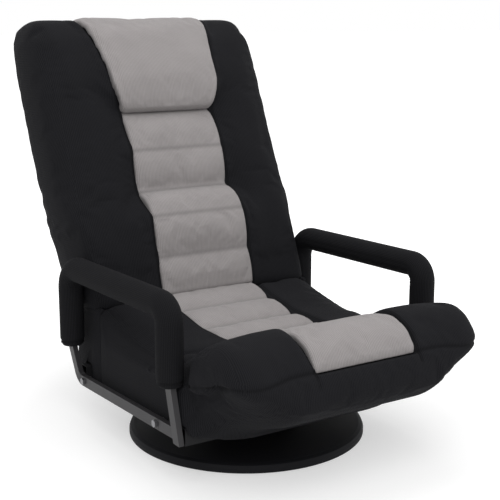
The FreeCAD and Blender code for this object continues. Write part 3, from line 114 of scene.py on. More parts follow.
FLOOR_HALF = 40
floor_mesh = bpy.data.meshes.new("floor")
floor_mesh.from_pydata([(-FLOOR_HALF, -FLOOR_HALF, 0), (FLOOR_HALF, -FLOOR_HALF, 0),
                        (FLOOR_HALF, FLOOR_HALF, 0), (-FLOOR_HALF, FLOOR_HALF, 0)],
                       [], [(0, 1, 2, 3)])
floor = bpy.data.objects.new("floor", floor_mesh)
bpy.context.collection.objects.link(floor)
paper = bpy.data.materials.new("studio_paper")
paper.use_nodes = True
tree = paper.node_tree
tree.nodes.clear()
matt = node(tree, "ShaderNodeBsdfDiffuse", {"Color": (0.86, 0.86, 0.86, 1)})

# seen directly, the paper has a share of its own light, which grows away from the chair: it
# stays white there, and keeps the shadow below
GLOW_SHARE = 0.3
SHADE_REACH, WHITE_REACH = 0.45, 1.1
SHADE_GLOW, WHITE_GLOW = 1.62, 2.8
spot = node(tree, "ShaderNodeTexCoord")
reach = node(tree, "ShaderNodeVectorMath", {0: spot.outputs["Object"]}, operation="LENGTH")
glow = node(tree, "ShaderNodeMapRange", {0: reach.outputs["Value"], 1: SHADE_REACH,
                                         2: WHITE_REACH, 3: SHADE_GLOW, 4: WHITE_GLOW})
lit = node(tree, "ShaderNodeEmission", {"Color": (1, 1, 1, 1), "Strength": glow.outputs[0]})
amount = maths(tree, "MULTIPLY", seen_directly(tree), GLOW_SHARE)
both = node(tree, "ShaderNodeMixShader", {0: amount, 1: matt.outputs[0], 2: lit.outputs[0]})
node(tree, "ShaderNodeOutputMaterial", {0: both.outputs[0]})
floor_mesh.materials.append(paper)


# Black seat cover: one foam block in matt black spacer mesh, dished for the sitter, with a
# raised front roll. Its middle is sunk under the grey panel that is sewn to it.


def bell_loop(corners, soft, count):
    """Closed line: straight runs through the corners, evenly divided, then each point is the
    bell-weighted average of its neighbours, worked out on the line's Fourier series."""
    p = np.array(list(corners) + [corners[0]], float)
    run = np.concatenate([[0.0], np.cumsum(np.hypot(*np.diff(p, axis=0).T))])
    at = np.linspace(0.0, run[-1], count, endpoint=False)
    line = np.interp(at, run, p[:, 0]) + 1j * np.interp(at, run, p[:, 1])
    pitch = np.fft.fftfreq(count, run[-1] / count)
    line = np.fft.ifft(np.fft.fft(line) * np.exp(-2.0 * (np.pi * soft * pitch) ** 2))
    return np.stack([line.real, line.imag], 1)


def step(low, high, value):
    """0 at low, 1 at high, and 3t² - 2t³ between them. Low may be the larger of the two."""
    t = np.clip((value - low) / (high - low), 0.0, 1.0)
    return t * t * (3.0 - 2.0 * t)


def dent(distance, width):
    """Bell of height 1 round zero: exp(-(distance / width)²)."""
    return np.exp(-(distance / width) ** 2)


def cushion(middle, side, blend, half, rounds, bulge, spine, columns=150, centre=0.0):
    """Grid of a cushion. Its section is a closed loop of (depth, height) that slides from the
    middle loop to the side loop over the blend range of |x|. x = half·sin(q·90°) for even q.
    Within the radius r of an end the loop sinks by r·(1 - sqrt(1 - into²)), where into grows
    from 0 to 1: front, rear, top and bottom each by its own r, weighted by the outward normal.
    Each end is closed by rings that shrink by k to the nearest place on a spine line, and
    bulges as 1 - k²."""
    q = np.sin(np.linspace(-1.0, 1.0, columns) * np.pi / 2)[:, None]
    half = np.broadcast_to(np.asarray(half, float), (len(middle),))[None, :]
    x = q * half
    share = step(blend[0], blend[1], np.abs(x))[..., None]
    loop = middle[None] * (1.0 - share) + side[None] * share
    ahead = np.roll(loop, -1, 1) - np.roll(loop, 1, 1)
    normal = np.stack([ahead[..., 1], -ahead[..., 0]], -1)
    normal /= np.linalg.norm(normal, axis=-1, keepdims=True)
    normal *= np.sign(np.sum(middle[:, 0] * np.roll(middle[:, 1], -1)
                             - np.roll(middle[:, 0], -1) * middle[:, 1]))
    front, rear, top, bottom = (np.asarray(radius, float) for radius in rounds)
    for axis, (low, high) in enumerate(((front, rear), (bottom, top))):
        radius = np.where(normal[..., axis] > 0.0, high, low)
        into = np.clip((np.abs(x) - half + radius) / radius, 0.0, 1.0)
        loop[..., axis] -= normal[..., axis] * radius * (1.0 - np.sqrt(1.0 - into ** 2))
    grid = np.concatenate([x[..., None], loop], -1)
    rings, smallest = 24, 0.04
    k = np.linspace(1.0, smallest, rings)[1:, None, None]
    first, way = np.array(spine[0], float), np.subtract(spine[1], spine[0]).astype(float)
    caps = []
    for end, sign in ((grid[0], -1.0), (grid[-1], 1.0)):
        t = np.clip((end[:, 1:] - first) @ way / (way @ way), 0.0, 1.0)
        heart = np.concatenate([end[:, :1], first + t[:, None] * way], 1)
        ring = heart + (end[None] - heart) * k
        ring[..., 0] += sign * bulge * (1.0 - k[..., 0] ** 2)
        caps.append(ring)
    grid = np.concatenate([caps[0][::-1], grid, caps[1]], 0)
    grid[..., 0] += centre
    return grid


def skin(name, grid, around=1.0, along=1.0):
    """Mesh of a grid whose rows are closed loops: quads between rows, and each end row closed
    to its middle point. Millimetres in, metres out. Its UV map counts around and along. The
    faces are turned outwards by the sign of the volume they enclose."""
    rows, cols, _ = grid.shape
    points = np.concatenate([grid.reshape(-1, 3), grid[:1].mean(1), grid[-1:].mean(1)]) * 0.001
    i = np.arange(rows - 1)[:, None] + np.zeros((1, cols), int)
    j = np.arange(cols)[None, :] + np.zeros((rows - 1, 1), int)
    k = (j + 1) % cols
    quads = np.stack([i * cols + j, i * cols + k, (i + 1) * cols + k, (i + 1) * cols + j], -1)
    quads = quads.reshape(-1, 4)
    uv = np.stack([np.stack([j, j + 1, j + 1, j], -1) * around / cols,
                   np.stack([i, i, i + 1, i + 1], -1) * along / (rows - 1)], -1).reshape(-1, 4, 2)
    edge = np.arange(cols)
    after = (edge + 1) % cols
    low = np.stack([np.full(cols, rows * cols), after, edge], -1)
    high = np.stack([np.full(cols, rows * cols + 1), edge, after], -1)
    high[:, 1:] += (rows - 1) * cols
    fans = np.concatenate([low, high])
    a, b, c, d = (points[quads[:, n]] for n in range(4))
    volume = np.sum(a * np.cross(b, c)) + np.sum(a * np.cross(c, d))
    if volume < 0.0:
        quads, fans, uv = quads[:, ::-1], fans[:, ::-1], uv[:, ::-1]
    mesh = bpy.data.meshes.new(name)
    mesh.from_pydata(points.tolist(), [], quads.tolist() + fans.tolist())
    layer = mesh.uv_layers.new(name="UVMap")
    flat = np.concatenate([uv.reshape(-1), np.zeros(fans.size * 2)])
    layer.data.foreach_set("uv", flat.astype(np.float32))
    mesh.polygons.foreach_set("use_smooth", np.ones(len(mesh.polygons), bool))
    piece = bpy.data.objects.new(name, mesh)
    bpy.context.collection.objects.link(piece)
    return piece


def places(piece):
    """Vertex positions of a piece in millimetres."""
    flat = np.empty(len(piece.data.vertices) * 3, np.float32)
    piece.data.vertices.foreach_get("co", flat)
    return flat.reshape(-1, 3).astype(float) * 1000.0


def put(piece, at):
    """Set the vertex positions of a piece, given in millimetres."""
    piece.data.vertices.foreach_set("co", (at * 0.001).astype(np.float32).ravel())


def normals(piece):
    """Vertex normals of a piece."""
    flat = np.empty(len(piece.data.vertices) * 3, np.float32)
    piece.data.vertex_normals.foreach_get("vector", flat)
    return flat.reshape(-1, 3).astype(float)


def sew(piece, depth, shade):
    """Sink every vertex by its depth along its normal, and keep its painted seam shade, 0 to 1,
    as the seam attribute that darkens the cloth materials. Both are functions of position and
    normal."""
    at, normal = places(piece), normals(piece)
    painted_shade = shade(at, normal)
    put(piece, at - normal * depth(at, normal)[:, None])
    layer = piece.data.attributes.new("seam", "FLOAT", "POINT")
    layer.data.foreach_set("value", np.clip(painted_shade, 0.0, 1.0).astype(np.float32))
    piece.data.update()


def keep_shape(piece):
    """Give the piece the mesh that its modifiers make, and drop them."""
    made = bpy.data.meshes.new_from_object(
        piece.evaluated_get(bpy.context.evaluated_depsgraph_get()))
    piece.modifiers.clear()
    piece.data = made


def puff(piece, voxel, inset, limit, held):
    """Stuff a cover by cloth simulation. The shape is remeshed at the voxel size in metres,
    drawn in along its normals by inset·(1 - held), and blown out from inside with its held
    places fixed. Each point moves limit·tanh(move / limit). One subdivision follows."""
    frames, pressure, stretch = 20, 4.0, 0.02
    remesh = piece.modifiers.new("remesh", "REMESH")
    remesh.mode = "VOXEL"
    remesh.voxel_size = voxel
    remesh.use_smooth_shade = True
    keep_shape(piece)
    start, normal = places(piece), normals(piece)
    fast = np.clip(held(start, normal), 0.0, 1.0)
    start -= normal * inset * (1.0 - fast)[:, None]
    put(piece, start)
    pins = piece.vertex_groups.new(name="held")
    for level in (0.25, 0.5, 0.75, 1.0):
        near = np.flatnonzero((fast > level - 0.125) & (fast <= level + 0.125))
        pins.add(near.tolist(), level, "REPLACE")
    cloth_sim = piece.modifiers.new("cloth", "CLOTH")
    cloth_sim.settings.quality = 3
    cloth_sim.settings.vertex_group_mass = "held"
    cloth_sim.settings.use_pressure = True
    cloth_sim.settings.uniform_pressure_force = pressure
    cloth_sim.settings.shrink_min = -stretch
    cloth_sim.settings.effector_weights.gravity = 0.0
    for number in range(1, frames + 1):
        bpy.context.scene.frame_set(number)
    keep_shape(piece)
    bpy.context.scene.frame_set(1)
    move = places(piece) - start
    far = np.linalg.norm(move, axis=1, keepdims=True) + 1e-9
    start += move / far * limit * np.tanh(far / limit)
    put(piece, start)
    finer = piece.modifiers.new("finer", "SUBSURF")
    finer.levels = finer.render_levels = 1
    keep_shape(piece)


def group(name, inputs, outputs):
    """Empty shader node group with named sockets, and its two end nodes."""
    made = bpy.data.node_groups.new(name, "ShaderNodeTree")
    for label, kind in inputs:
        made.interface.new_socket(label, in_out="INPUT", socket_type=kind)
    for label, kind in outputs:
        made.interface.new_socket(label, in_out="OUTPUT", socket_type=kind)
    return made, node(made, "NodeGroupInput"), node(made, "NodeGroupOutput")


FLOAT, COLOUR = "NodeSocketFloat", "NodeSocketColor"

# where a point lies on the cloth: across is x, or y on the side faces; along is y plus z, or z
# on the side faces
SIDE_FACE = 0.62
cloth_place, _, place_out = group("cloth_place", (), (("Across", FLOAT), ("Along", FLOAT)))
here = node(cloth_place, "ShaderNodeTexCoord")
spot = node(cloth_place, "ShaderNodeSeparateXYZ", {0: here.outputs["Object"]})
facing = node(cloth_place, "ShaderNodeSeparateXYZ", {0: here.outputs["Normal"]})
slant = maths(cloth_place, "ABSOLUTE", facing.outputs[0])
sideways = maths(cloth_place, "GREATER_THAN", slant, SIDE_FACE)
across = node(cloth_place, "ShaderNodeMix", {0: sideways, 2: spot.outputs[0], 3: spot.outputs[1]})
both_ways = maths(cloth_place, "ADD", spot.outputs[1], spot.outputs[2])
along = node(cloth_place, "ShaderNodeMix", {0: sideways, 2: both_ways, 3: spot.outputs[2]})
cloth_place.links.new(across.outputs[0], place_out.inputs["Across"])
cloth_place.links.new(along.outputs[0], place_out.inputs["Along"])

# spacer mesh: fine ribs across the cloth, with a staggered hole in every hollow; 1.3 half
# waves of holes along it to each rib across it
HOLE_BEAT, HOLE_SPREAD, RIB_POWER = 1.3, 2.2, 0.7
mesh_weave, given, made = group(
    "spacer_mesh", (("Across", FLOAT), ("Along", FLOAT), ("Pitch", FLOAT), ("Thread", COLOUR),
                    ("Hollow", COLOUR), ("Seam", FLOAT)),
    (("Color", COLOUR), ("Height", FLOAT), ("Roughness", FLOAT)))
ribs = maths(mesh_weave, "DIVIDE", given.outputs["Across"], given.outputs["Pitch"])
rows = maths(mesh_weave, "DIVIDE", given.outputs["Along"], given.outputs["Pitch"])
wave = maths(mesh_weave, "MULTIPLY", ribs, 2.0 * math.pi)
beat = maths(mesh_weave, "MULTIPLY", rows, HOLE_BEAT * math.pi)
rib = maths(mesh_weave, "MULTIPLY_ADD", maths(mesh_weave, "COSINE", wave), 0.5, 0.5)
stagger = maths(mesh_weave, "MULTIPLY", maths(mesh_weave, "SINE", wave),
                maths(mesh_weave, "SINE", beat))
hollows = maths(mesh_weave, "MULTIPLY_ADD", stagger, HOLE_SPREAD, -1.0)
hole = maths(mesh_weave, "SMOOTH_MAX", hollows, 0.0, 0.1)
thread = maths(mesh_weave, "SUBTRACT", maths(mesh_weave, "POWER", rib, RIB_POWER), hole)

# uneven tone: soft patches of dye and fine loose fibre, and painted shade down in the seams
PATCH_TONE, FIBRE_TONE, SEAM_PAINTED_SHADE = 0.30, 0.22, 0.62
spread = node(mesh_weave, "ShaderNodeCombineXYZ", {0: given.outputs["Across"],
                                                   1: given.outputs["Along"]})
mottle = node(mesh_weave, "ShaderNodeTexNoise", {"Vector": spread.outputs[0], "Scale": 11.0,
                                                 "Detail": 5.0, "Roughness": 0.62})
fluff = node(mesh_weave, "ShaderNodeTexNoise", {"Vector": spread.outputs[0], "Scale": 900.0,
                                                "Detail": 2.0})
patches = maths(mesh_weave, "SUBTRACT", mottle.outputs[0], 0.5)
fibres = maths(mesh_weave, "SUBTRACT", fluff.outputs[0], 0.5)
tone = maths(mesh_weave, "MULTIPLY_ADD", patches, PATCH_TONE, 1.0)
tone = maths(mesh_weave, "ADD", tone, maths(mesh_weave, "MULTIPLY", fibres, FIBRE_TONE))
seam_painted_shade = maths(mesh_weave, "MULTIPLY_ADD", given.outputs["Seam"], -SEAM_PAINTED_SHADE, 1.0)
tone = maths(mesh_weave, "MULTIPLY", tone, seam_painted_shade)
tint = node(mesh_weave, "ShaderNodeMix", {0: thread, 6: given.outputs["Hollow"],
                                          7: given.outputs["Thread"]}, data_type="RGBA")
final = node(mesh_weave, "ShaderNodeVectorMath", {0: tint.outputs[2], 1: tone},
             operation="MULTIPLY")
nap = maths(mesh_weave, "ADD", thread, maths(mesh_weave, "MULTIPLY", fluff.outputs[0], 0.3))
rough = maths(mesh_weave, "MULTIPLY_ADD", thread, -0.12, 0.93)
mesh_weave.links.new(final.outputs[0], made.inputs["Color"])
mesh_weave.links.new(nap, made.inputs["Height"])
mesh_weave.links.new(rough, made.inputs["Roughness"])


def material(name):
    """New material with a Principled shader. Returns it, its node tree and the shader."""
    made = bpy.data.materials.new(name)
    made.use_nodes = True
    tree = made.node_tree
    tree.nodes.clear()
    shader = node(tree, "ShaderNodeBsdfPrincipled")
    node(tree, "ShaderNodeOutputMaterial", {0: shader.outputs[0]})
    return made, tree, shader


def lay_on(tree, surface, shader, strength, distance):
    """Give the shader a surface group's colour and roughness, and its height as a bump."""
    relief = node(tree, "ShaderNodeBump", {"Strength": strength, "Distance": distance,
                                           "Height": surface.outputs["Height"]})
    tree.links.new(surface.outputs["Color"], shader.inputs["Base Color"])
    tree.links.new(surface.outputs["Roughness"], shader.inputs["Roughness"])
    tree.links.new(relief.outputs[0], shader.inputs["Normal"])


MESH_PITCH = 0.003


def cloth(name, thread, hollow, sheen, shine, use_uv=False):
    """Spacer mesh cloth, laid by object coordinates or by the piece's own UV map."""
    made, tree, shader = material(name)
    if use_uv:
        flat = node(tree, "ShaderNodeUVMap", uv_map="UVMap")
        apart = node(tree, "ShaderNodeSeparateXYZ", {0: flat.outputs[0]})
        across, along = apart.outputs[0], apart.outputs[1]
    else:
        laid = node(tree, "ShaderNodeGroup", node_tree=cloth_place)
        across, along = laid.outputs["Across"], laid.outputs["Along"]
    # the seam attribute holds painted shade along seams, grooves and pad edges
    seam = node(tree, "ShaderNodeAttribute", attribute_name="seam")
    weave = node(tree, "ShaderNodeGroup",
                 {"Across": across, "Along": along, "Seam": seam.outputs["Fac"],
                  "Pitch": MESH_PITCH, "Thread": (*thread, 1), "Hollow": (*hollow, 1)},
                 node_tree=mesh_weave)
    lay_on(tree, weave, shader, strength=0.35, distance=0.0008)
    shader.inputs["Sheen Weight"].default_value = sheen
    shader.inputs["Sheen Roughness"].default_value = 0.5
    shader.inputs["Specular IOR Level"].default_value = shine
    return made


black_cloth = cloth("black_spacer_mesh", thread=(0.0150, 0.0150, 0.0170),
                    hollow=(0.0060, 0.0060, 0.0072), sheen=0.0, shine=0.08)
grey_cloth = cloth("grey_spacer_mesh", thread=(0.312, 0.293, 0.291),
                   hollow=(0.232, 0.216, 0.215), sheen=0.10, shine=0.25)

# section lines as (depth, height) in millimetres, the front negative: over the top from the
# crease to the roll's nose, then back below, once in the chair's middle and once at its ends
SEAT_TOP = ((146, 247), (75, 229), (-8, 214), (-85, 213), (-157, 219), (-205, 237), (-235, 256),
            (-270, 273), (-304, 279.5), (-340, 266), (-368, 234))
SEAT_REST = ((-384, 212), (-387, 191), (-376, 166), (-347, 144), (-312, 128), (-262, 112),
             (-236, 95), (-214, 73), (-204, 79), (-203, 108), (-188, 117), (140, 118.5),
             (146, 126))
SEAT_END = ((-304, 284), (-342, 271), (-373, 240), (-381, 227), (-370, 208), (-339, 186),
            (-301, 163), (-264, 138), (-238, 116), (-214, 93), (-203, 88), (-172, 82),
            (140, 82), (150, 88))
COVER_POINTS = 420

# half width of the cover, how far the roll stands out past it and is drawn in again below,
# half width of the grey panel, and depth of the seam behind the roll
SEAT_HALF, ROLL_SPREAD, ROLL_TUCK = 238.0, 19.0, 20.0
PANEL = 105.0
VALLEY = -157.0

seat_loop = bell_loop(SEAT_TOP + SEAT_REST, soft=9.0, count=COVER_POINTS)
seat_side = bell_loop(SEAT_TOP[:-3] + SEAT_END, soft=11.0, count=COVER_POINTS)
loop_depth, loop_height = seat_loop.T
along_roll = step(-225.0, -300.0, loop_depth)
seat_half = SEAT_HALF + ROLL_SPREAD * step(-203.0, -245.0, loop_depth)
seat_half -= ROLL_TUCK * step(190.0, 130.0, loop_height) * step(-230.0, -270.0, loop_depth)
front, rear = 52.0, 8.0
top, bottom = 30.0 + 2.0 * along_roll, 3.0 + 48.0 * along_roll
grid = cushion(seat_loop, seat_side, blend=(130.0, 230.0), half=seat_half,
               rounds=(front, rear, top, bottom), bulge=6.0, spine=((-262, 192), (95, 172)))

# the underside clears the front cross tube, and the roll swells beside the grey panel
TUBE_CLEAR, LOBE_RISE = 116.0, 7.0
x, y, z = np.abs(grid[..., 0]), grid[..., 1], grid[..., 2]
tube_slot = step(-207.0, -204.0, y) * (1.0 - step(-176.0, -173.0, y))
z = np.maximum(z, TUBE_CLEAR * tube_slot)
lobe = step(96.0, 118.0, x) * step(240.0, 150.0, x)
grid[..., 2] = z + LOBE_RISE * lobe * dent(y + 306.0, 58.0) * step(225.0, 262.0, z)
seat_black = skin("seat_cover_black", grid)


def on_top(normal):
    """1 where the cloth faces up, 0 where it faces sideways or down."""
    return step(0.25, 0.6, normal[:, 2])


def roll_seam(at):
    """Height above the roll's boxing seam, which sinks towards the ends and round them."""
    x, y, z = np.abs(at[:, 0]), at[:, 1], at[:, 2]
    fall = 8.0 * step(140.0, 230.0, x) + 0.24 * np.clip(y + 345.0, 0, None)
    return z - 234.0 + fall * step(105.0, 180.0, x)


def roll_front(at, normal):
    """1 on the front and the ends of the roll, where its boxing seam runs."""
    return step(-205.0, -222.0, at[:, 1]) * (1.0 - step(0.80, 0.97, normal[:, 2]))


def seat_held(at, normal):
    """The seat cover is held where it lies on the frame, behind the roll and at the seam."""
    x, y, z = np.abs(at[:, 0]), at[:, 1], at[:, 2]
    base = step(140.0, 122.0, z) * step(-260.0, -230.0, y) + step(0.5, 0.9, -normal[:, 2])
    side = step(-215.0, -195.0, y) * step(0.5, 0.9, np.abs(normal[:, 0]))
    valley = dent(y - VALLEY, 9.0) * on_top(normal)
    seam = valley + dent(roll_seam(at), 7.0) * roll_front(at, normal)
    return base + side + seam * step(240.0, 190.0, x)


def seat_black_depth(at, normal):
    """Sunk bed for the grey panel, the groove beside it, the groove behind the roll and the
    seam round the roll's front and ends."""
    x, y = np.abs(at[:, 0]), at[:, 1]
    bed = step(-372.0, -366.0, y) * (1.0 - step(PANEL - 7.0, PANEL - 1.0, x))
    bed = 12.0 * bed * step(0.0, 0.25, normal[:, 2])
    groove = 4.0 * dent(x - PANEL - 1.0, 4.0) * on_top(normal)
    valley = 5.0 * dent(y - VALLEY, 7.0) * on_top(normal) * step(100.0, 112.0, x)
    seam = 2.6 * dent(roll_seam(at), 4.0) * roll_front(at, normal)
    return bed + groove + valley + seam


def seat_black_painted_shade(at, normal):
    """Painted shade along the roll's seam, beside the grey panel and in the groove behind the
    roll.
    """
    x, y = np.abs(at[:, 0]), at[:, 1]
    line = dent(roll_seam(at), 2.4) * roll_front(at, normal)
    edge = dent(x - PANEL - 1.0, 3.0) * on_top(normal)
    return 0.7 * line + 0.7 * edge + 0.5 * dent(y - VALLEY, 4.0) * on_top(normal)


puff(seat_black, voxel=0.006, inset=0.5, limit=8.0, held=seat_held)
sew(seat_black, seat_black_depth, seat_black_painted_shade)
seat_black.data.materials.append(black_cloth)
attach(seat_black, "seat")
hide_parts("seat_cushion", "front_roll")


# Grey seat panel: one strip of grey spacer mesh over thin foam, sewn across into channels on
# the seat and pulled over the front roll to the seam above its nose.


def even_line(corners, soft, pitch=2.5):
    """Open line: straight runs through the corners divided evenly, each inner point averaged
    with its neighbours over a bell of the given width; the two ends stay. Returns the points,
    the normals to the left of the way and the distance along."""
    p = np.array(corners, float)
    run = np.concatenate([[0.0], np.cumsum(np.hypot(*np.diff(p, axis=0).T))])
    at = np.linspace(0.0, run[-1], int(run[-1] / pitch) + 1)
    line = np.stack([np.interp(at, run, p[:, 0]), np.interp(at, run, p[:, 1])], 1)
    reach = at[:, None] - at[None, :]
    wide = np.minimum(soft, np.minimum(at, at[-1] - at) * 0.5 + 0.01)[:, None]
    weight = np.exp(-0.5 * (reach / wide) ** 2)
    line = weight @ line / weight.sum(1, keepdims=True)
    ahead = np.gradient(line, axis=0)
    normal = np.stack([-ahead[:, 1], ahead[:, 0]], 1)
    normal /= np.linalg.norm(normal, axis=1, keepdims=True)
    return line, normal, at


def seams_at(line, run, points):
    """Distance along the line at which it passes nearest to each point."""
    gap = np.linalg.norm(line[None] - np.array(points, float)[:, None], axis=2)
    return run[np.argmin(gap, 1)]


def channels(run, seams, lifts, power):
    """Height of sewn channels: between two seams, at share t, lift·(1 - |2t - 1|^power)."""
    k = np.clip(np.searchsorted(seams, run, side="right") - 1, 0, len(lifts) - 1)
    t = (run - seams[k]) / (seams[k + 1] - seams[k])
    return np.asarray(lifts, float)[k] * (1.0 - np.abs(2.0 * np.clip(t, 0, 1) - 1.0) ** power)


def panel(line, normal, half, lift, thick, edge, sides=56):
    """Grid of a thin pad laid along a line. Each row is a closed loop across the pad:
    x = half·sin(q·90°), its top at lift·(1 - 0.35·q⁶) less edge·(1 - sqrt(1 - into²)) within
    the edge distance of a side, and its underside a fixed thickness below the line."""
    q = np.sin(np.linspace(-1.0, 1.0, sides) * np.pi / 2)
    half = np.broadcast_to(half, lift.shape)[:, None]
    x = half * q[None, :]
    into = np.clip((np.abs(x) - half + edge) / edge, 0.0, 1.0)
    inner = 1.0 - 0.35 * (np.abs(q) ** 6)[None, :]
    top = lift[:, None] * inner - edge * (1.0 - np.sqrt(1.0 - into ** 2))
    under = np.full_like(top, -thick)
    height = np.concatenate([np.maximum(top, -thick + 0.5), under], 1)
    across = np.concatenate([x, x[:, ::-1]], 1)
    flat = line[:, None, :] + normal[:, None, :] * height[..., None]
    return np.concatenate([across[..., None], flat], -1)


PAD_DEPTH = 12.0
SEAT_SEAMS = SEAT_TOP[:5] + SEAT_TOP[-1:]
CROSS_SEAMS = [depth for depth, _ in SEAT_SEAMS[1:4]]

line, normal, run = even_line(SEAT_TOP, soft=7.0)
stops = seams_at(line, run, SEAT_SEAMS)
valley, hem = stops[4:]
lift = channels(run, stops, lifts=(8.0, 8.0, 8.0, 8.0, 0.0), power=2.0)
roll = step(valley, valley + 60.0, run) * (1.0 - step(hem - 46.0, hem, run))
lift += 3.5 * roll - 5.0 * dent(run - valley, 8.0) - 8.0 * step(hem - 10.0, hem, run)
grid = panel(line, -normal, PANEL, lift, thick=PAD_DEPTH, edge=9.0)
seat_grey = skin("seat_cover_grey", grid)


def bells(place, seams, width):
    """One bell of the given width on each seam, added up."""
    return sum(dent(place - seam, width) for seam in seams)


def seat_grey_held(at, normal):
    """The panel is held along its cross seams, its long edges and its underside."""
    cross = bells(at[:, 1], CROSS_SEAMS + [VALLEY], 5.0)
    edge = step(PANEL - 7.0, PANEL - 2.0, np.abs(at[:, 0]))
    return cross + edge + step(0.1, -0.3, normal[:, 2] - 0.8 * normal[:, 1])


def seat_grey_depth(at, normal):
    """The cross seams pull a soft valley across the panel."""
    return 2.5 * bells(at[:, 1], CROSS_SEAMS, 7.0) * step(0.2, 0.6, normal[:, 2])


def seat_grey_painted_shade(at, normal):
    """Painted shade along the cross seams, at the valley and where the panel meets the black."""
    cross = bells(at[:, 1], CROSS_SEAMS + [VALLEY], 5.0)
    edge = step(PANEL - 4.0, PANEL, np.abs(at[:, 0]))
    return 0.32 * cross + 0.9 * edge + 0.7 * step(-362.0, -369.0, at[:, 1])


puff(seat_grey, voxel=0.0045, inset=1.0, limit=5.0, held=seat_grey_held)
sew(seat_grey, seat_grey_depth, seat_grey_painted_shade)
seat_grey.data.materials.append(grey_cloth)
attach(seat_grey, "seat")
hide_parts("seat_pad", "roll_pad")


# Black back cover: thick foam with side bolsters and rounded shoulders, in the same black
# mesh. It stands on the crease of the seat.

LEAN = math.radians(24.0)
HINGE_DEPTH, HINGE_HEIGHT = 182.0, 160.0


def leaned(grid):
    """Turn (x, depth, height) about the hinge from the back's upright frame into the chair's."""
    x, u, w = grid[..., 0], grid[..., 1], grid[..., 2]
    return np.stack([x, HINGE_DEPTH + u * math.cos(LEAN) + w * math.sin(LEAN),
                     HINGE_HEIGHT - u * math.sin(LEAN) + w * math.cos(LEAN)], -1)


def upright(at):
    """Depth and height in the back's upright frame of points of the chair's frame."""
    y, z = at[:, 1] - HINGE_DEPTH, at[:, 2] - HINGE_HEIGHT
    return y * math.cos(LEAN) - z * math.sin(LEAN), y * math.sin(LEAN) + z * math.cos(LEAN)


# the front of the back is set out from a chord that rises from the crease
CHORD, CREASE = -68.3, 64.8
BACK_SEAMS = ((0, 12), (70, 22), (150, 38), (210, -8.5), (292, 12), (374, -7))
HEAD_SEAM = 374.0


def on_chord(pairs):
    """Points of the back from (height up the chord, distance in front of it)."""
    return [(CHORD - ahead, CREASE + up) for up, ahead in pairs]


BACK_REAR = [(84, 610), (94, 570), (95, 470), (94, 300), (86, 170), (64, 112), (42, 76), (0, 62),
             (-40, 50), (-66, 46)]
BACK_TOP = [(-60, 615), (-32, 641), (0, 651), (36, 656), (68, 650)]
SHOULDER = [(-62, 602), (-34, 649), (10, 667), (54, 672), (89, 661)]
BOLSTER = ((0, 6), (70, 9), (150, 11), (210, 11), (285, 9), (375, 8), (455, 4))
back_loop = bell_loop(on_chord(BACK_SEAMS + ((402, 10), (442, 16), (510, 4))) + BACK_TOP
                      + BACK_REAR, soft=9.0, count=COVER_POINTS)
back_side = bell_loop(on_chord(BOLSTER) + SHOULDER + BACK_REAR, soft=11.0, count=COVER_POINTS)

# between the arms the back is this wide on each side, and a little wider above them
BACK_HALF, ABOVE_ARMS = 243.0, 5.0
back_half = BACK_HALF + ABOVE_ARMS * step(190.0, 280.0, back_side[:, 1])
grid = cushion(back_loop, back_side, blend=(100.0, 175.0), half=back_half,
               rounds=(28.0, 26.0, 36.0, 24.0), bulge=6.0, spine=((8, 130), (20, 610)))
back_black = skin("back_cover_black", leaned(grid))


def headrest_half(w):
    """Half width of the headrest at a height: 105 at its seam, 142 at the top."""
    return PANEL + 37.0 * np.clip((w - CREASE - HEAD_SEAM) / 210.0, 0, 1.0)


def bed_half(w):
    """Half width of the sunk bed at a height: the panel's, and from its seam the headrest's."""
    return np.where(w < CREASE + HEAD_SEAM, PANEL, headrest_half(w))


def on_front(normal):
    """1 where the cloth of the back faces the sitter."""
    return step(0.1, 0.35, -normal[:, 1] + 0.6 * normal[:, 2])


def rear_seams(at, normal, width):
    """Bells on the closing seam behind: up both sides, and across near the bottom."""
    x, (u, w) = np.abs(at[:, 0]), upright(at)
    seams = dent(x - 212.0, width) * step(130.0, 150.0, w)
    seams += dent(w - 150.0, width) * step(213.0, 207.0, x)
    return seams * step(0.55, 0.8, normal[:, 1]) * step(40.0, 60.0, u)


def back_black_held(at, normal):
    """The cover is held under the grey pads, at its lower edge and, in part, over its rear."""
    x, (_, w) = np.abs(at[:, 0]), upright(at)
    side = step(0.5, 0.9, np.abs(normal[:, 0])) * step(225.0, 190.0, w)
    bed = on_front(normal) * step(bed_half(w) + 9.0, bed_half(w), x)
    return bed + side + step(118.0, 88.0, w) + 0.5 * step(0.6, 0.9, normal[:, 1])


def back_black_depth(at, normal):
    """Sunk bed for the grey pads and the groove round it, a raised edge beside the headrest,
    and the closing seam behind."""
    x, (u, w) = np.abs(at[:, 0]), upright(at)
    half = bed_half(w)
    bed = 12.0 * (1.0 - step(half - 9.0, half - 2.0, x))
    groove = 1.5 * dent(x - half - 1.0, 3.5)
    beside = step(CREASE + 380.0, CREASE + 410.0, w)
    raised = 4.0 * dent(x - half - 9.0, 9.0) * beside
    front = on_front(normal) * step(60.0, 52.0, u - CHORD)
    return (bed + groove - raised) * front + 2.2 * rear_seams(at, normal, 3.0)


def back_black_painted_shade(at, normal):
    """Painted shade round the grey pads and along the closing seam behind."""
    x, (u, w) = np.abs(at[:, 0]), upright(at)
    edge = dent(x - bed_half(w) - 1.0, 3.0) * step(58.0, 52.0, u - CHORD)
    return 0.8 * edge + 0.7 * rear_seams(at, normal, 2.2)


puff(back_black, voxel=0.006, inset=-0.5, limit=8.0, held=back_black_held)
sew(back_black, back_black_depth, back_black_painted_shade)
back_black.data.materials.append(black_cloth)
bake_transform(back_black)
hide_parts("back_cushion")


# Grey back panel: grey spacer mesh over thin foam, sewn across into five channels. The lower
# three stand forward as the lumbar support, and the two above lie in a hollow under the
# headrest.

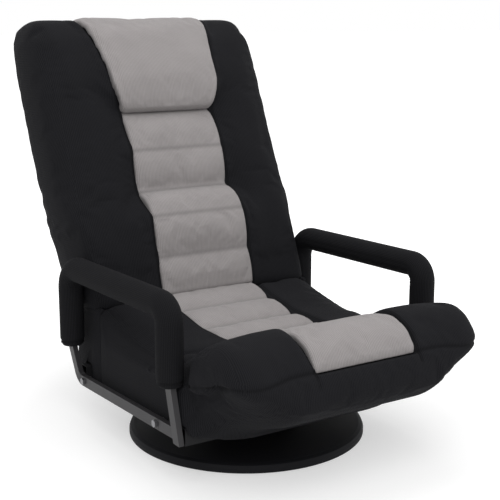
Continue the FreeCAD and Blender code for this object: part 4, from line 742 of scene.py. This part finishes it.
PAD_START, PAD_END = ((-7, 12),), ((386, -9),)
line, normal, run = even_line(on_chord(PAD_START + BACK_SEAMS[1:-1] + PAD_END), soft=5.0)
stops = seams_at(line, run, on_chord(PAD_START + BACK_SEAMS[1:]))
top = stops[-1]
lift = channels(run, stops, lifts=(8.0, 9.0, 16.0, 8.5, 9.0), power=2.1)
lift -= 4.0 * step(top - 6.0, top + 4.0, run)
grid = panel(line, normal, PANEL, lift, thick=PAD_DEPTH, edge=10.0)
back_grey = skin("back_cover_grey", leaned(grid))


def back_grey_held(at, normal):
    """The panel is held along its cross seams, its long edges and its underside."""
    cross = bells(upright(at)[1] - CREASE, [up for up, _ in BACK_SEAMS], 5.0)
    edge = step(PANEL - 7.0, PANEL - 2.0, np.abs(at[:, 0]))
    return cross + edge + step(0.0, 0.4, normal[:, 1] - 0.45 * normal[:, 2])


def unsewn(at, normal):
    """0 everywhere: nothing is sunk, or nothing is darker."""
    return np.zeros(len(at))


def back_grey_painted_shade(at, normal):
    """Painted shade just below the cross seams and where the pad meets the black."""
    cross = bells(upright(at)[1] - CREASE, [up - 1.5 for up, _ in BACK_SEAMS[1:]], 4.6)
    return 0.42 * cross + 0.9 * step(PANEL - 4.0, PANEL, np.abs(at[:, 0]))


puff(back_grey, voxel=0.0045, inset=1.0, limit=5.0, held=back_grey_held)
sew(back_grey, unsewn, back_grey_painted_shade)
back_grey.data.materials.append(grey_cloth)
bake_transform(back_grey)
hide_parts("back_pad")


# Headrest: a fuller pad in the grey mesh, wider at the top, whose rounded lower edge overhangs
# the panel below it. It wraps over the top of the back and is sewn down behind.

HEAD_LINE = ((376, -12), (377, 6), (386, 18), (406, 25), (432, 27), (470, 23), (510, 14),
             (543, 6), (568, -6), (587, -26), (600, -66), (606, -106), (603, -122))
line, normal, run = even_line(on_chord(HEAD_LINE), soft=6.0)
half = headrest_half(line[:, 1]) + 7.0 * dent(line[:, 1] - CREASE - 425.0, 40.0)
lift = 2.0 - 4.0 * step(run[-1] - 12.0, run[-1], run)
grid = panel(line, normal, half, lift, thick=14.0, edge=11.0, sides=72)
headrest = skin("headrest_cover", leaned(grid))


def headrest_held(at, normal):
    """The headrest is held along its lower seam, its sides and its underside."""
    _, w = upright(at)
    edge = step(-9.0, -2.0, np.abs(at[:, 0]) - headrest_half(w))
    seam = step(CREASE + 384.0, CREASE + 376.0, w)
    return edge + seam + step(-0.2, 0.3, 0.6 * normal[:, 1] - normal[:, 2])


def headrest_painted_shade(at, normal):
    """Painted shade on the sides, where the pad meets the black."""
    rim = np.abs(at[:, 0]) - headrest_half(upright(at)[1])
    return 0.9 * step(-3.0, 4.0, rim) * step(0.5, 0.9, np.abs(normal[:, 0]))


puff(headrest, voxel=0.005, inset=1.0, limit=6.0, held=headrest_held)
sew(headrest, unsewn, headrest_painted_shade)
headrest.data.materials.append(grey_cloth)
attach(headrest, "back")
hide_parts("headrest_pad")


# Neck of the back: the lower end of the foam and its black cover behind the seat, rolled round
# the hinge line so that it can turn.

NECK_HALF, NECK_RADIUS, NECK_ROUND = 176.0, 35.0, 10.0
turn = np.linspace(math.pi, 2.0 * math.pi, 17)
knuckle = [(NECK_RADIUS * math.cos(a), NECK_RADIUS * math.sin(a)) for a in turn]
neck_loop = bell_loop(knuckle + [(35.5, 60), (35.5, 92), (0, 94), (-35, 92), (-35, 60)],
                      soft=3.0, count=160)
grid = cushion(neck_loop, neck_loop, blend=(90.0, 120.0), half=NECK_HALF,
               rounds=(NECK_ROUND,) * 4, bulge=0.0, spine=((0, 5), (0, 60)), columns=60)
neck = skin("neck_cover", leaned(grid))
sew(neck, unsewn, unsewn)
neck.data.materials.append(black_cloth)
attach(neck, "back")
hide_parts("back_neck")


# Arm covers: foam rolled round each arm loop inside a tube of black mesh, hemmed at both
# ends, with its closing seam along the inside.

# the arm mesh is a darker copy of the black mesh: painted shade over the arm covers
shaded_arm_cloth = cloth("arm_spacer_mesh_painted_shade", thread=(0.0120, 0.0120, 0.0135),
                  hollow=(0.0050, 0.0050, 0.0058), sheen=0.0, shine=0.08, use_uv=True)
REAR_END, FRONT_END = (200.0, 160.5), (-190.0, 190.5)
ARM_PATH = (REAR_END, (200.0, 313.0), (-190.0, 323.0), FRONT_END)
ARM_BENDS = (44.0, 30.0)
ARM_SIDE, ARM_RADIUS = 268.5, 23.3
HEM = 9.0


def bent_path(corners, bends, pitch):
    """Straight runs joined by arcs: at each inner corner the arc of the bend radius that
    touches both runs, its points turned evenly about its centre."""
    p = np.array(corners, float)
    parts = [p[:1]]
    for i, radius in enumerate(bends, 1):
        back = (p[i - 1] - p[i]) / np.linalg.norm(p[i - 1] - p[i])
        ahead = (p[i + 1] - p[i]) / np.linalg.norm(p[i + 1] - p[i])
        half = math.acos(np.clip(back @ ahead, -1, 1)) / 2
        heart = p[i] + (back + ahead) / np.linalg.norm(back + ahead) * radius / math.sin(half)
        start = p[i] + back * radius / math.tan(half) - heart
        end = p[i] + ahead * radius / math.tan(half) - heart
        t = np.linspace(0.0, 1.0, 24)[:, None]
        sweep = math.pi - 2.0 * half
        arc = (np.sin((1 - t) * sweep) * start + np.sin(t * sweep) * end) / math.sin(sweep)
        parts.append(heart + arc)
    parts.append(p[-1:])
    fine = np.concatenate(parts)
    run = np.concatenate([[0.0], np.cumsum(np.linalg.norm(np.diff(fine, axis=0), axis=1))])
    at = np.linspace(0.0, run[-1], int(run[-1] / pitch))
    return np.stack([np.interp(at, run, fine[:, 0]), np.interp(at, run, fine[:, 1])], 1), at


def sleeve(sign):
    """Tube along the arm loop. Its radius is less at the hems and along the closing seam, and
    shallow creases 1 + sin(distance) run round the inside of each bend, as deep as it turns.
    Returns the grid and its length."""
    path, run = bent_path(ARM_PATH, ARM_BENDS, pitch=2.5)
    ahead = np.gradient(path, axis=0)
    ahead /= np.linalg.norm(ahead, axis=1, keepdims=True)
    out = np.stack([-ahead[:, 1], ahead[:, 0]], 1)
    tightness, spread = 32.0, 13
    bend = np.linalg.norm(np.gradient(ahead, run, axis=0), axis=1)
    bend = np.convolve(bend, np.ones(spread) / spread, mode="same") * tightness
    turn = np.linspace(0.0, 2.0 * np.pi, 56, endpoint=False)[None, :]
    inside = np.clip(np.cos(turn), 0, 1)
    end = np.minimum(run, run[-1] - run)
    radius = ARM_RADIUS - 2.2 * dent(end - HEM, 2.5) - 5.0 * dent(end, 4.0)
    radius = radius[:, None] - 0.8 * bend[:, None] * inside * (1 + np.sin(run * 0.75))[:, None]
    radius -= 0.9 * dent((turn - math.pi * 0.5 * (2 + sign)) * 23.0, 2.5)
    side = np.sin(turn) * radius
    rise = np.cos(turn) * radius
    flat = path[:, None, :] + out[:, None, :] * rise[..., None]
    return np.concatenate([(sign * ARM_SIDE + side)[..., None], flat], -1), run[-1]


def arm_painted_shade(at, normal):
    """Painted shade at the hem line of each end."""
    front = dent(at[:, 2] - FRONT_END[1] - HEM, 1.6) * step(-150.0, -160.0, at[:, 1])
    rear = dent(at[:, 2] - REAR_END[1] - HEM, 1.6) * step(160.0, 170.0, at[:, 1])
    return 0.8 * (front + rear)


for side_name, sign in (("left", 1), ("right", -1)):
    grid, length = sleeve(sign)
    arm = skin("arm_cover_" + side_name, grid, 2.0 * math.pi * ARM_RADIUS * 0.001, length * 0.001)
    sew(arm, unsewn, arm_painted_shade)
    arm.data.materials.append(shaded_arm_cloth)
    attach(arm, "seat")
    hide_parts("arm_sleeve_" + side_name)


# Hinge flaps: a thin padded flap of black mesh on each side, sewn to the seat cover. It hangs
# over the outside of the recliner, and its upper rear edge is round like it.

FLAP_SIDE, FLAP_HALF, FLAP_ROUND = 233.0, 6.0, 5.0
FLAP_RADIUS, FLAP_HEIGHT = 61.5, 176.0
turn = np.linspace(-0.2, 0.5 * math.pi, 25)
rear_arc = [(HINGE_DEPTH + FLAP_RADIUS * math.cos(a), FLAP_HEIGHT + FLAP_RADIUS * math.sin(a))
            for a in turn]
flap_loop = bell_loop(rear_arc + [(138.0, 237.5), (136.0, 86.0), (183.0, 86.0), (184.0, 117.0),
                                  (211.0, 117.0), (212.0, 97.0), (247.0, 97.0)],
                      soft=2.5, count=240)
for side_name, sign in (("left", 1), ("right", -1)):
    grid = cushion(flap_loop, flap_loop, blend=(0.0, 1.0), half=FLAP_HALF,
                   rounds=(FLAP_ROUND,) * 4, bulge=2.0, spine=((168, 165), (185, 185)),
                   columns=16, centre=sign * FLAP_SIDE)
    flap = skin("hinge_flap_" + side_name, grid)
    sew(flap, unsewn, unsewn)
    flap.data.materials.append(black_cloth)
    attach(flap, "seat")
    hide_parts("hinge_cover_" + side_name)


# Metal, webbing, nylon and floor foam: the frame, the base, the race and their fasteners keep
# their own solids and take the finish of the real ones, painted, plated or moulded; the cross
# tubes and the seat frame under the seat take a darker copy of the frame paint as painted shade.

grain, given, made = group("paint_grain", (("Colour", COLOUR), ("Size", FLOAT), ("Rough", FLOAT)),
                           (("Color", COLOUR), ("Height", FLOAT), ("Roughness", FLOAT)))
here = node(grain, "ShaderNodeTexCoord")
speck = node(grain, "ShaderNodeTexNoise", {"Vector": here.outputs["Object"],
                                           "Scale": given.outputs["Size"], "Detail": 3.0})
cloud = node(grain, "ShaderNodeTexNoise", {"Vector": here.outputs["Object"], "Scale": 14.0,
                                           "Detail": 4.0})
shade = maths(grain, "MULTIPLY_ADD", cloud.outputs[0], 0.30, 0.85)
tone = node(grain, "ShaderNodeVectorMath", {0: given.outputs["Colour"], 1: shade},
            operation="MULTIPLY")
rough = maths(grain, "MULTIPLY_ADD", cloud.outputs[0], 0.16, given.outputs["Rough"])
grain.links.new(tone.outputs[0], made.inputs["Color"])
grain.links.new(speck.outputs[0], made.inputs["Height"])
grain.links.new(rough, made.inputs["Roughness"])


def hard_finish(name, colour, grains, rough, bump, metal=0.0, shine=0.5):
    """Painted, plated or moulded surface with a fine grain."""
    made, tree, shader = material(name)
    coat = node(tree, "ShaderNodeGroup", {"Colour": (*colour, 1), "Size": grains, "Rough": rough},
                node_tree=grain)
    lay_on(tree, coat, shader, strength=bump, distance=0.0003)
    shader.inputs["Metallic"].default_value = metal
    shader.inputs["Specular IOR Level"].default_value = shine
    return made


PAINT_GRAINS = 1500.0
finishes = {
    "black_fabric": black_cloth,
    "grey_fabric": grey_cloth,
    "webbing": hard_finish("elastic_webbing", (0.015, 0.015, 0.016), 700.0, rough=0.82, bump=0.5),
    "frame_paint": hard_finish("grey_powder_coat", (0.024, 0.023, 0.025), PAINT_GRAINS,
                               rough=0.42, bump=0.25, shine=0.35),
    "base_paint": hard_finish("black_powder_coat", (0.0085, 0.0085, 0.0102), PAINT_GRAINS,
                              rough=0.55, bump=0.2, shine=0.12),
    "zinc_steel": hard_finish("zinc_plate", (0.24, 0.24, 0.25), 900.0, rough=0.34, bump=0.15,
                              metal=1.0),
    "ball_steel": hard_finish("bearing_steel", (0.60, 0.60, 0.61), 300.0, rough=0.06, bump=0.03,
                              metal=1.0),
    "nylon": hard_finish("natural_nylon", (0.66, 0.65, 0.60), 500.0, rough=0.45, bump=0.2),
    "grip_foam": hard_finish("floor_foam", (0.02, 0.02, 0.021), 420.0, rough=0.85, bump=0.7),
}
# painted shade: a darker copy of the grey frame paint for the parts that lie under the seat
shaded_frame_paint = hard_finish("grey_powder_coat_painted_shade", (0.0070, 0.0070, 0.0080), PAINT_GRAINS,
                         rough=0.5, bump=0.25, shine=0.2)
for entry in frame["record"]["subparts"]:
    obj = frame["nodes"][entry["node"]]
    finish = finishes[entry["material_slot"]]
    # painted shade on the cross tubes and the seat frame under the seat
    if "cross_tube" in entry["node"] or entry["node"] == "seat_frame":
        finish = shaded_frame_paint
    if obj.data.materials:
        for slot in obj.material_slots:
            slot.material = finish
    else:
        obj.data.materials.append(finish)
